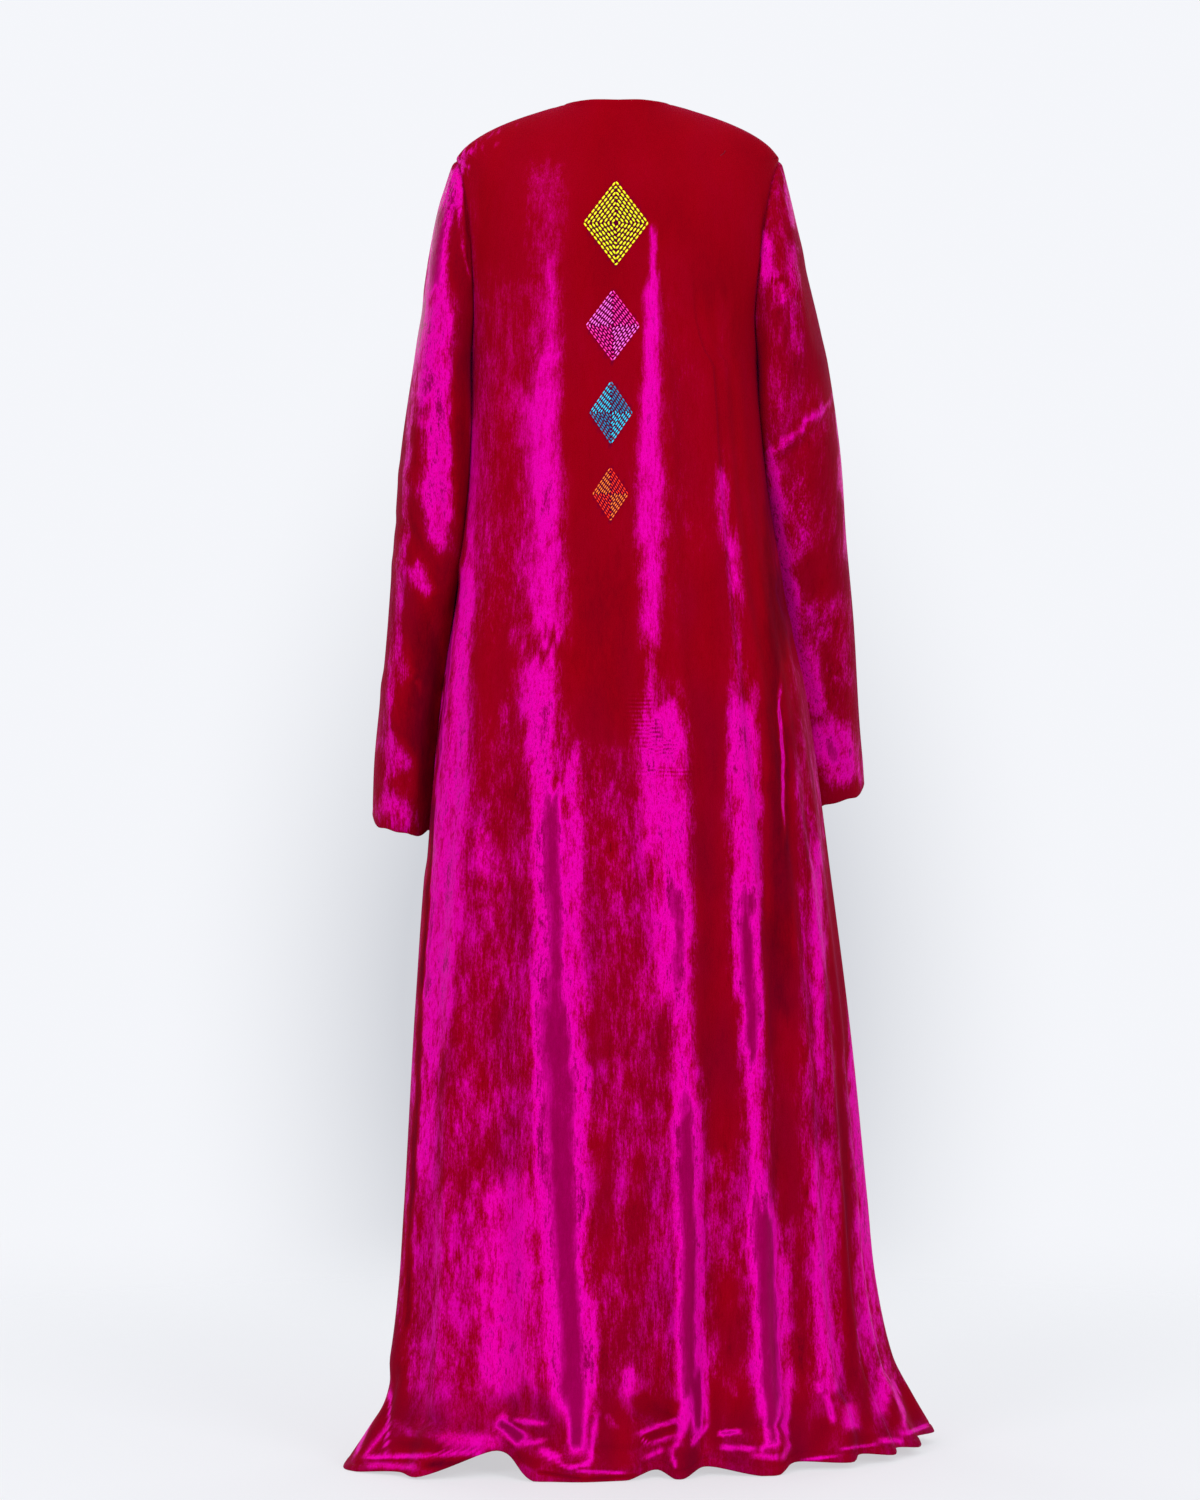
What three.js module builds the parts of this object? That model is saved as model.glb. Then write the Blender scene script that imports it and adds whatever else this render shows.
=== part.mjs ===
// A bisht: a floor-length, open-fronted robe of silk velvet, in the hollow form that it has when worn.
// Millimetres, +Z up. The front faces -Y, the back +Y, and +X is the wearer's left.
// The origin is midway between the two shoulder tips, where the wearer's shoulders carry the robe.
// It has five cut pieces: the back, two fronts and two sleeves. Each is a wall of cloth of even thickness.
import * as THREE from "three";

// Driving dimensions
const FLOOR_Z = -1457; // the floor, below the shoulder tips
const CLOTH = 2; // velvet and its pile
const HEM_CLOTH = 3; // where the hem is turned up
const SEAM_GAP = 0.35; // between two pieces at a seam
const ARMHOLE_GAP = 0.6; // between a sleeve and its armhole
const NECK_HALF_WIDTH = 61;
const NAPE_Y = 62;
const SHOULDER_SEAM_Y = 6; // at the neck; it falls to nothing at the tip
const SHOULDER_ROUND = 130; // height over which the cloth turns over the shoulder
const UNDERARM_Z = -235;
const ARMHOLE_BACK_TURN = 15; // degrees that the armhole is cut into the back
const ARMHOLE_FRONT_TURN = 21;
const RING_POWER = 2.4; // 2 is an ellipse, and more is squarer
const KNEE_Z = -950;
const CHEST_Z = -300;
const FOLDS_START_Z = -60;
const FOLD_GROWTH = 1.6; // how late a fold deepens on its way to the hem
const SHOULDER_POWER = 0.5; // rounds the cloth over the shoulder seam as a circle does
const NAPE_POWER = 1; // lets it fall more slowly from the nape
const TIP_POWER = 0.15; // and turns it at once at the shoulder tip, so that the armhole is an oval
const TIP_SHARE = 0.4; // the share of the shoulder line over which it comes to that
const SLEEVE_CLEARANCE = 4; // between a sleeve's wall and the robe's side
const CLEAR_FROM_Z = -100; // the sleeves keep that clearance from here down,
const CLEAR_WHOLE_Z = -140; // and all of it from here
const SLEEVE_JOIN = 0.16; // the share of a sleeve that turns from the armhole's shape to the tube's
const CUFF_DIP = 15; // the cuff's back and front hang lower than its two sides
const CUFF_DIP_FROM = 0.75; // where along the sleeve the dip starts

// How finely the walls are divided
const ARMHOLE_STEPS = 12; // rows from the shoulder tip to the underarm
const SKIRT_STEPS = 20; // rows from the underarm to the hem
const SLEEVE_STEPS = 17; // rings from the armhole to the cuff
const SKIRT_CLOSING = 1.35; // 1 is even rows, and more brings them together at the hem
const SLEEVE_OPENING = 1.25; // 1 is even rings, and more brings them together at the armhole
const COLUMN_DEGREES = 5.6; // the widest column of a panel

const DEGREE = Math.PI / 180;

// A table with named columns
function table(columns, rows) {
  return Object.fromEntries(columns.map((name, i) => [name, rows.map((row) => row[i])]));
}

// The robe's rings round the body. Widths and depths are half sizes from the ring's middle, and twist is
// how much nearer the back the wearer's left side stands than the right, for each mm across.
const BODY = table(
  ["z", "halfWidth", "middleX", "backY", "frontY", "twist"],
  [
    [0, 181, -3, 84, 80, 0],
    [-60, 177, -2, 93, 96, 0],
    [-120, 171, -1, 99, 108, 0],
    [-192, 162, 1, 104, 118, 0],
    [-305, 165, -1, 110, 127, 0],
    [-384, 170, -3, 113, 129, 0],
    [-497, 186, -6, 119, 132, 0.01],
    [-610, 205, -10, 130, 140, 0.03],
    [-814, 226, -15, 150, 158, 0.07],
    [-994, 241, -21, 161, 169, 0.11],
    [-1175, 252, -26, 169, 177, 0.14],
    [-1266, 258, -28, 173, 180, 0.15],
    [-1356, 272, -32, 177, 184, 0.16],
    [-1401, 289, -37, 180, 187, 0.17],
    [-1457, 323, -35, 188, 194, 0.17],
  ],
);

// The shoulder line, outwards from the middle of the neck
const SHOULDER = table(
  ["x", "z"],
  [
    [0, 58],
    [61, 60],
    [84, 54],
    [115, 44],
    [138, 34],
    [157, 23],
    [171, 12],
    [181, 0],
  ],
);

// Half of the gap between the two front edges
const FRONT_EDGE = table(
  ["z", "x"],
  [
    [60, 61],
    [0, 57],
    [-150, 47],
    [-400, 36],
    [-700, 36],
    [-1100, 48],
    [-1457, 60],
  ],
);

// The folds, from the front edge of the wearer's right round the back to that of the left. hem, knee and
// chest are a fold's place at those heights, in degrees from the middle of the back. 90 is a side seam and
// 180 a front edge. outHem and outChest are how far it stands out from the even ring, and lift is how far
// its hem clears the floor.
const FOLDS = table(
  ["hem", "knee", "chest", "outHem", "outChest", "lift"],
  [
    [-180, -180, -180, 2, 0, 2],
    [-165, -165, -166, 10, 1, 0],
    [-152, -153, -154, -9, -1, 8],
    [-138, -140, -141, 15, 2, 0],
    [-124, -125, -126, -11, -1, 9],
    [-112, -112, -111, 13, 1, 0],
    [-101, -101, -101, -7, 0, 10],
    [-90, -90, -90, 14, 0, 12],
    [-82, -83, -82, -5, 0, 14],
    [-75, -76, -74, 8, 0, 9],
    [-70.5, -72, -69, -4, 0, 12],
    [-66, -67, -64, 9, 1, 8],
    [-60.5, -63, -60, -5, 0, 12],
    [-55, -58, -56, 11, 2, 7],
    [-46, -51, -53, -10, -1, 10],
    [-36, -44, -50, 15, 3, 0],
    [-20, -33, -36.7, -12, -2, 10],
    [-10, -22, -27, 9, 4, 0],
    [-3, -11, -15, -9, -1, 9],
    [8, 8, 2, 6, 1, 0],
    [19, 26, 25, 10, 5, 0],
    [32, 36, 36.7, 4, 2, 0],
    [50, 50, 50, -30, -3, 28],
    [60, 62, 60, 12, 1, 3],
    [66, 68, 67, 2, 0, 5],
    [78, 78, 78, 20, 1, 0],
    [90, 90, 90, 8, 0, 2],
    [104, 104, 104, -10, 0, 8],
    [116, 115, 115, 14, 1, 0],
    [129, 129, 130, -10, -1, 9],
    [141, 142, 143, 13, 2, 0],
    [153, 154, 155, -9, -1, 7],
    [166, 166, 167, 11, 1, 0],
    [180, 180, 180, 2, 0, 2],
  ],
);

// The sleeves. along runs from the armhole to the cuff, outer and inner are the two sides of the flattened
// tube as the wearer's arm hangs, y is its middle and halfDepth its reach to the back and the front.
const SLEEVE_COLUMNS = ["along", "outerX", "outerZ", "innerX", "innerZ", "y", "halfDepth"];
const SLEEVES = {
  left: table(SLEEVE_COLUMNS, [
    [0, 178, 0, 165, -235, 0, 52],
    [0.06, 199, -45, 166, -262, 0, 60],
    [0.15, 209, -111, 168, -313, -1, 66],
    [0.3, 226, -223, 172, -390, -4, 66],
    [0.45, 243, -334, 179, -468, -8, 62],
    [0.6, 252, -445, 193, -545, -16, 58],
    [0.75, 261, -556, 202, -623, -24, 55],
    [0.9, 273, -668, 211, -700, -32, 55],
    [1, 276, -740, 215, -750, -38, 56],
  ]),
  right: table(SLEEVE_COLUMNS, [
    [0, 184, 0, 161, -235, 0, 52],
    [0.06, 200, -43, 166, -260, -2, 60],
    [0.15, 214, -107, 169, -309, -8, 66],
    [0.3, 239, -213, 176, -384, -24, 66],
    [0.45, 256, -320, 186, -458, -44, 62],
    [0.6, 265, -426, 193, -532, -68, 58],
    [0.75, 276, -533, 202, -606, -94, 55],
    [0.9, 284, -639, 209, -681, -118, 55],
    [1, 290, -706, 213, -722, -132, 56],
  ]),
};

const lerp = THREE.MathUtils.lerp;
const smooth = (t) => THREE.MathUtils.smoothstep(t, 0, 1);

// Where a value falls among a table column's rows: the row before it, and how far it is to the next one
function place(keys, value) {
  const rising = keys[0] < keys[keys.length - 1] ? 1 : -1;
  let i = 0;
  while (i < keys.length - 2 && (value - keys[i + 1]) * rising >= 0) i++;
  return [i, THREE.MathUtils.clamp((value - keys[i]) / (keys[i + 1] - keys[i]), 0, 1)];
}

// A smooth curve through a column, level beyond its ends
function curve(rows, key, column) {
  const at = rows[key];
  const to = rows[column];
  const slope = at.map((_, i) => {
    const before = Math.max(i - 1, 0);
    const after = Math.min(i + 1, at.length - 1);
    return (to[after] - to[before]) / (at[after] - at[before]);
  });
  return (value) => {
    const [i, t] = place(at, value);
    const span = at[i + 1] - at[i];
    const bend = (1 - t) * slope[i] * span - t * slope[i + 1] * span;
    const rise = to[i + 1] - to[i];
    return to[i] + t * rise + t * (1 - t) * (bend - (1 - 2 * t) * rise);
  };
}

// Straight from row to row
function line(rows, key, column) {
  return (value) => {
    const [i, t] = place(rows[key], value);
    return lerp(rows[column][i], rows[column][i + 1], t);
  };
}

// Round-topped from row to row, as cloth falls from fold to fold
function wave(rows, key, column) {
  return (value) => {
    const [i, t] = place(rows[key], value);
    return lerp(rows[column][i], rows[column][i + 1], smooth(t));
  };
}

const halfWidth = curve(BODY, "z", "halfWidth");
const middleX = curve(BODY, "z", "middleX");
const backY = curve(BODY, "z", "backY");
const frontY = curve(BODY, "z", "frontY");
const twist = curve(BODY, "z", "twist");
const shoulderZ = curve(SHOULDER, "x", "z");
const frontEdgeX = curve(FRONT_EDGE, "z", "x");
const foldAtKnee = line(FOLDS, "hem", "knee");
const foldAtChest = line(FOLDS, "hem", "chest");
const outHem = wave(FOLDS, "hem", "outHem");
const outChest = wave(FOLDS, "hem", "outChest");
const lift = wave(FOLDS, "hem", "lift");

// The place round the body, at height z, of the fold that meets the hem at the angle c
function foldAngle(c, z) {
  if (z < KNEE_Z) return lerp(foldAtKnee(c), c, (KNEE_Z - z) / (KNEE_Z - FLOOR_Z));
  const up = THREE.MathUtils.clamp((z - KNEE_Z) / (CHEST_Z - KNEE_Z), 0, 1);
  return lerp(foldAtKnee(c), foldAtChest(c), up);
}

function foldOut(c, z) {
  const down = THREE.MathUtils.clamp((CHEST_Z - z) / (CHEST_Z - FLOOR_Z), 0, 1);
  const shown = smooth((FOLDS_START_Z - z) / (FOLDS_START_Z - CHEST_Z));
  return outChest(c) * shown + (outHem(c) - outChest(c)) * down ** FOLD_GROWTH;
}

// How far the armhole is cut in at height z, from 0 at the shoulder tip through 1 to 0 at the underarm
function armholeCut(z) {
  const share = THREE.MathUtils.clamp(z / UNDERARM_Z, 0, 1);
  return 2 * Math.sqrt(share * (1 - share));
}

// The angle of the front edge at height z
function frontEdgeAngle(z) {
  const x = frontEdgeX(z);
  const y = frontY(z) * (1 - (x / halfWidth(z)) ** RING_POWER) ** (1 / RING_POWER);
  return 180 - Math.atan2(x, y) / DEGREE;
}

function bodyAngle(c, z) {
  const angle = foldAngle(c, z);
  if (Math.abs(c) <= 90) return angle * (1 - (ARMHOLE_BACK_TURN * armholeCut(z)) / 90);
  const start = 90 + ARMHOLE_FRONT_TURN * armholeCut(z);
  return Math.sign(c) * lerp(start, frontEdgeAngle(z), (Math.abs(angle) - 90) / 90);
}

// A point of the even ring at height z, moved out
function ringPoint(angle, z, out) {
  const across = Math.sin(angle * DEGREE);
  const deep = Math.cos(angle * DEGREE);
  const depth = deep > 0 ? backY(z) : frontY(z);
  const sum = Math.abs(across / halfWidth(z)) ** RING_POWER + Math.abs(deep / depth) ** RING_POWER;
  const reach = sum ** (-1 / RING_POWER) + out;
  return new THREE.Vector3(middleX(z) + reach * across, reach * (deep + twist(z) * across), z);
}

// The top edge of the column c: the shoulder seam, or between the neck points the back neckline
function topEdge(c) {
  const top = SHOULDER.z[0];
  const x = ringPoint(bodyAngle(c, top), top, 0).x - middleX(top);
  const fromTip = 1 - Math.abs(x) / SHOULDER.x[SHOULDER.x.length - 1];
  const seamY = SHOULDER_SEAM_Y * fromTip;
  const inNeck = Math.max(1 - (x / NECK_HALF_WIDTH) ** 2, 0);
  const outside = lerp(TIP_POWER, SHOULDER_POWER, smooth(fromTip / TIP_SHARE));
  return {
    z: shoulderZ(Math.abs(x)),
    y: lerp(seamY, NAPE_Y, Math.sqrt(inNeck)),
    power: lerp(outside, NAPE_POWER, smooth(2 * inNeck)),
  };
}

// The height of row v at the side edge, from the shoulder tip to the hem
function rowZ(v) {
  if (v <= ARMHOLE_STEPS) return (UNDERARM_Z * (1 - Math.cos((Math.PI * v) / ARMHOLE_STEPS))) / 2;
  const left = 1 - (v - ARMHOLE_STEPS) / SKIRT_STEPS;
  return lerp(FLOOR_Z, UNDERARM_Z, left ** SKIRT_CLOSING);
}

// The robe's outer face at the fold column c and the row v
function drape(c, v) {
  const top = topEdge(c);
  const hem = FLOOR_Z + lift(c);
  const z = lerp(top.z, hem, rowZ(v) / FLOOR_Z);
  const point = ringPoint(bodyAngle(c, z), z, foldOut(c, z));
  const below = THREE.MathUtils.clamp((top.z - z) / SHOULDER_ROUND, 0, 1);
  const turned = (1 - (1 - below) ** 2) ** top.power;
  const seam = Math.abs(c) <= 90 ? SEAM_GAP / 2 : -SEAM_GAP / 2;
  point.y = lerp(top.y + seam, point.y, turned);
  return point;
}

const LAST_ROW = ARMHOLE_STEPS + SKIRT_STEPS;

// The outward direction at a point of the robe, from points a little aside, above and below
function drapeNormal(c, v) {
  const aside = 0.02;
  const along = 0.04;
  const across = drape(c + aside, v).sub(drape(c - aside, v));
  const down = drape(c, Math.min(v + along, LAST_ROW)).sub(drape(c, Math.max(v - along, 0)));
  return across.cross(down).normalize();
}

// The side seam's half gap, as an angle
const sideGap = (v) => SEAM_GAP / 2 / halfWidth(rowZ(v)) / DEGREE;

// An edge point of the armhole: turn counts the rows from the shoulder tip, and it is negative at the front
function armholeEdge(side, turn) {
  const v = Math.abs(turn);
  const c = side * (90 - Math.sign(turn) * sideGap(v));
  return { point: drape(c, v), normal: drapeNormal(c, v) };
}

// A point of a sleeve's even tube. turn goes round it in the armhole's steps, from the outer side
function tubePoint(name, side, along, turn) {
  const rows = SLEEVES[name];
  const at = (column) => curve(rows, "along", column)(along);
  const angle = (Math.PI * turn) / ARMHOLE_STEPS;
  const outwards = (1 + Math.cos(angle)) / 2;
  const dip = CUFF_DIP * Math.abs(Math.sin(angle)) * smooth((along - CUFF_DIP_FROM) / (1 - CUFF_DIP_FROM));
  return new THREE.Vector3(
    side * lerp(at("innerX"), at("outerX"), outwards),
    at("y") + at("halfDepth") * Math.sin(angle),
    lerp(at("innerZ"), at("outerZ"), outwards) - dip,
  );
}

// Moves a sleeve's point out to clear the robe's side, which it hangs against
function clearOfBody(point, side) {
  const z = point.z;
  const across = point.x - middleX(z);
  const y = point.y - twist(z) * across;
  const depth = y > 0 ? backY(z) : frontY(z);
  const room = Math.max(1 - Math.abs(y / depth) ** RING_POWER, 0);
  const reach = halfWidth(z) * room ** (1 / RING_POWER) + SLEEVE_CLEARANCE;
  const kept = smooth((CLEAR_FROM_Z - z) / (CLEAR_FROM_Z - CLEAR_WHOLE_Z));
  point.x = middleX(z) + side * Math.max(side * across, reach * kept);
  return point;
}

const SLEEVE_TURNS = 2 * ARMHOLE_STEPS;
const wrapTurn = (turn) => (turn > ARMHOLE_STEPS ? turn - SLEEVE_TURNS : turn);

// A sleeve's ring at a share of its length; near the armhole it takes on the armhole's own shape
function sleevePoint(name, side, along, turn) {
  const tube = tubePoint(name, side, along, turn);
  const away = smooth(along / SLEEVE_JOIN);
  if (away < 1) tube.lerp(armholeEdge(side, turn).point, 1 - away);
  return along > 0 ? clearOfBody(tube, side) : tube;
}

// Both pieces are bevelled alike at the armhole seam. into is the bevel's direction through the cloth,
// and apart leads from the robe's edge to the sleeve's.
function armholeBevel(name, side, turn) {
  const edge = armholeEdge(side, turn);
  const next = armholeEdge(side, wrapTurn(turn + 1)).point;
  const before = armholeEdge(side, turn - 1 < -ARMHOLE_STEPS ? ARMHOLE_STEPS - 1 : turn - 1).point;
  const round = next.sub(before).normalize();
  const middle = new THREE.Vector3(side * SHOULDER.x[SHOULDER.x.length - 1], 0, UNDERARM_Z / 2);
  const firstRing = (1 / SLEEVE_STEPS) ** SLEEVE_OPENING;
  const onwards = sleevePoint(name, side, firstRing, turn).sub(edge.point).normalize();
  const sleeveNormal = round.clone().cross(onwards).normalize();
  if (sleeveNormal.dot(edge.point.clone().sub(middle)) < 0) sleeveNormal.negate();
  const into = edge.normal.clone().add(sleeveNormal).normalize();
  const apart = round.clone().cross(into).normalize();
  if (apart.dot(onwards) < 0) apart.negate();
  return { point: edge.point, into, apart };
}

// A closed wall from its outer and inner points, which are rows of columns. The rows run downwards, and
// each row runs so that the outer face looks out. A looped wall joins its last column to its first.
function wall(outer, inner, looped) {
  const rows = outer.length;
  const columns = outer[0].length;
  const across = looped ? columns : columns - 1;
  const points = [...outer.flat(), ...inner.flat()];
  const out = (row, column) => row * columns + (column % columns);
  const into = (row, column) => rows * columns + out(row, column);
  const faces = [];
  // Split on the shorter diagonal, so that the two edges of a seam are split alike
  const quad = (a, b, c, d) => {
    const acrossFirst = points[a].distanceTo(points[c]) <= points[b].distanceTo(points[d]);
    faces.push(...(acrossFirst ? [a, b, c, a, c, d] : [a, b, d, b, c, d]));
  };
  for (let row = 0; row < rows - 1; row++) {
    for (let column = 0; column < across; column++) {
      quad(out(row, column), out(row, column + 1), out(row + 1, column + 1), out(row + 1, column));
      quad(into(row, column), into(row + 1, column), into(row + 1, column + 1), into(row, column + 1));
    }
  }
  for (let column = 0; column < across; column++) {
    quad(out(0, column), into(0, column), into(0, column + 1), out(0, column + 1));
    const end = rows - 1;
    quad(out(end, column), out(end, column + 1), into(end, column + 1), into(end, column));
  }
  if (!looped) {
    const end = columns - 1;
    for (let row = 0; row < rows - 1; row++) {
      quad(out(row, 0), out(row + 1, 0), into(row + 1, 0), into(row, 0));
      quad(out(row, end), into(row, end), into(row + 1, end), out(row + 1, end));
    }
  }
  const geometry = new THREE.BufferGeometry();
  const positions = points.flatMap((p) => [p.x, p.y, p.z]);
  geometry.setAttribute("position", new THREE.Float32BufferAttribute(positions, 3));
  geometry.setIndex(faces);
  return geometry;
}

// The wall's inner point, below an outer point
function inwards(point, normal, thickness) {
  const inner = point.clone().addScaledVector(normal, -thickness);
  inner.z = Math.max(inner.z, FLOOR_Z);
  return inner;
}

// The columns of a panel between two angles: each fold's ridge and hollow, and steps between them
function panelColumns(from, to) {
  const rows = FOLDS.hem.filter((angle) => angle >= from && angle <= to);
  const columns = [rows[0]];
  rows.slice(1).forEach((angle, i) => {
    const steps = Math.max(2, Math.round((angle - rows[i]) / COLUMN_DEGREES));
    for (let step = 1; step <= steps; step++) columns.push(lerp(rows[i], angle, step / steps));
  });
  return columns;
}

// A panel of the robe between two angles
function panel(from, to) {
  const outer = [];
  const inner = [];
  for (let v = 0; v <= LAST_ROW; v++) {
    const columns = panelColumns(from, to).map((c) => {
      const atSide = Math.abs(c) === 90;
      return { c: atSide ? c + Math.sign((from + to) / 2 - c) * sideGap(v) : c, atSide };
    });
    const thickness = v >= LAST_ROW - 1 ? HEM_CLOTH : CLOTH;
    outer.push(columns.map(({ c }) => drape(c, v)));
    inner.push(
      columns.map(({ c, atSide }, i) => {
        const side = Math.sign(c);
        const turn = from + to === 0 ? v : -v;
        const bevelled = atSide && v <= ARMHOLE_STEPS;
        const name = side > 0 ? "left" : "right";
        const normal = bevelled ? armholeBevel(name, side, turn).into : drapeNormal(c, v);
        return inwards(outer[v][i], normal, thickness);
      }),
    );
  }
  return wall(outer, inner, false);
}

function sleeve(name, side) {
  const turns = Array.from({ length: SLEEVE_TURNS }, (_, i) => wrapTurn(side > 0 ? SLEEVE_TURNS - i : i));
  const outer = [];
  for (let ring = 0; ring <= SLEEVE_STEPS; ring++) {
    const along = (ring / SLEEVE_STEPS) ** SLEEVE_OPENING;
    outer.push(turns.map((turn) => sleevePoint(name, side, along, turn)));
  }
  const bevels = turns.map((turn) => armholeBevel(name, side, turn));
  outer[0] = bevels.map(({ point, apart }) => point.clone().addScaledVector(apart, ARMHOLE_GAP));
  const inner = outer.map((row, ring) =>
    row.map((point, i) => {
      if (ring === 0) return inwards(point, bevels[i].into, CLOTH);
      const next = row[(i + 1) % row.length].clone();
      const across = next.sub(row[(i + row.length - 1) % row.length]);
      const down = outer[Math.min(ring + 1, SLEEVE_STEPS)][i].clone().sub(outer[ring - 1][i]);
      return inwards(point, across.cross(down).normalize(), ring === SLEEVE_STEPS ? HEM_CLOTH : CLOTH);
    }),
  );
  return wall(outer, inner, true);
}

function velvetPiece(name, geometry, color) {
  const material = new THREE.MeshStandardMaterial({ color, roughness: 0.7, metalness: 0 });
  const mesh = new THREE.Mesh(geometry, material);
  mesh.name = name;
  return mesh;
}

const bisht = new THREE.Group();
bisht.add(velvetPiece("back", panel(-90, 90), 0xa4063c));
bisht.add(velvetPiece("front_left", panel(90, 180), 0xa4063c));
bisht.add(velvetPiece("front_right", panel(-180, -90), 0xa4063c));
bisht.add(velvetPiece("sleeve_left", sleeve("left", 1), 0xb0084c));
bisht.add(velvetPiece("sleeve_right", sleeve("right", -1), 0xb0084c));

export default bisht;
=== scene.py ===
import bpy
import numpy as np
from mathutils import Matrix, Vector, noise
from mathutils.bvhtree import BVHTree


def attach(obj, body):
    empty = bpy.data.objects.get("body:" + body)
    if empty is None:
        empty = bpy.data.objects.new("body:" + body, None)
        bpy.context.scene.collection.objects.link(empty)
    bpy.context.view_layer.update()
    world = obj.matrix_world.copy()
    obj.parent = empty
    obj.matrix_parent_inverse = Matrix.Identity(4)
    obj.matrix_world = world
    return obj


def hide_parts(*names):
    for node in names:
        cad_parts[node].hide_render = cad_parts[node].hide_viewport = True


MM = 0.001

# The robe's form, as in the part's source
FLOOR_Z = -1457
NECK_HALF_WIDTH = 61
NAPE_Y = 62
SHOULDER_SEAM_Y = 6
SHOULDER_ROUND = 130
SHOULDER_POWER = 0.5
NAPE_POWER = 1
TIP_POWER = 0.15
TIP_SHARE = 0.4
UNDERARM_Z = -235
ARMHOLE_BACK_TURN = 15
ARMHOLE_FRONT_TURN = 21
RING_POWER = 2.4
KNEE_Z = -950
CHEST_Z = -300
FOLDS_START_Z = -60
FOLD_GROWTH = 1.6
CLEAR_FROM_Z = -100
CLEAR_WHOLE_Z = -140
SLEEVE_JOIN = 0.16
CUFF_DIP = 15
CUFF_DIP_FROM = 0.75
ARMHOLE_STEPS = 12
SKIRT_STEPS = 20
LAST_ROW = ARMHOLE_STEPS + SKIRT_STEPS
SKIRT_CLOSING = 1.35
EDGE = 1e-6  # degrees, so that a piece's edge column is on its own side of the armhole

# How finely the velvet is divided
ARMHOLE_ROWS = 40
SKIRT_ROW = 8.0
BUCKLED_FROM = 100  # how far above the hem the rows come closer
BUCKLED_ROW = 3.2
HEM_ROW = 1.3
HEM_ROWS = 11
COLUMN = 1.0  # degrees
SEAM_COLUMNS = (0, 0.3, 0.65, 1.05, 1.6)  # degrees from a seam or an edge
SLEEVE_ROWS = 150
SLEEVE_ROWS_CLOSER = 1.25  # brings the rows together at the armhole
SLEEVE_COLUMNS_PER_STEP = 4

# The velvet and its sewing
SLEEVE_REST = 12  # how much nearer the robe's side the velvet's tube is than the wall's
SLEEVE_CLEARANCE = 0.6  # the wall's is 4
VELVET = 1.6  # thickness of the cloth and its pile
HEM_BAND = 9.0  # width of the turned hem
CUFF_BAND = 7.0
CUFF_WAVE = 1.7
CUFF_WAVE_FROM = 0.9
EDGE_BAND = 8.0  # the turned neck and front edges
NECK_CORNER = 40  # the length over which the turned neck becomes the shoulder's seam
EASE_TURNS = 40
EASE_DOWN_TO = -140
STITCH_GROOVE = 0.9
SEAM_SWELL = 1.1  # how much the cloth beside a seam stands up from it
PUCKER = 2.2
ROLL = 0.5  # how far a turned edge bulges, as a share of the cloth's thickness

# The soft shade on the wall behind the robe: its half width and height, and how far it is below the
# camera's height, in the world's directions
SHADE_WIDTH = 0.118
SHADE_HEIGHT = 0.2
SHADE_DROP = 0.058

# The photograph's camera
CAMERA_Y = 4500
CAMERA_Z = -689
FOCAL_PIXELS = 3982
PHOTO_WIDTH = 1200
PHOTO_HEIGHT = 1500
AXIS_PIXEL_X = 615
AXIS_PIXEL_Y = 770
SENSOR = 36


def table(columns, rows):
    """A table with named columns. A row may leave out its last value where that is 1."""
    return {name: np.array([(*row, 1)[i] for row in rows]) for i, name in enumerate(columns.split())}


BODY = table("z halfWidth middleX backY frontY twist", [
    (0, 181, -3, 84, 80, 0),
    (-60, 177, -2, 93, 96, 0),
    (-120, 171, -1, 99, 108, 0),
    (-192, 162, 1, 104, 118, 0),
    (-305, 165, -1, 110, 127, 0),
    (-384, 170, -3, 113, 129, 0),
    (-497, 186, -6, 119, 132, 0.01),
    (-610, 205, -10, 130, 140, 0.03),
    (-814, 226, -15, 150, 158, 0.07),
    (-994, 241, -21, 161, 169, 0.11),
    (-1175, 252, -26, 169, 177, 0.14),
    (-1266, 258, -28, 173, 180, 0.15),
    (-1356, 272, -32, 177, 184, 0.16),
    (-1401, 289, -37, 180, 187, 0.17),
    (-1457, 323, -35, 188, 194, 0.17),
])

SHOULDER = table("x z", [
    (0, 58), (61, 60), (84, 54), (115, 44), (138, 34), (157, 23), (171, 12), (181, 0),
])

FRONT_EDGE = table("z x", [
    (60, 61), (0, 57), (-150, 47), (-400, 36), (-700, 36), (-1100, 48), (-1457, 60),
])

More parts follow.
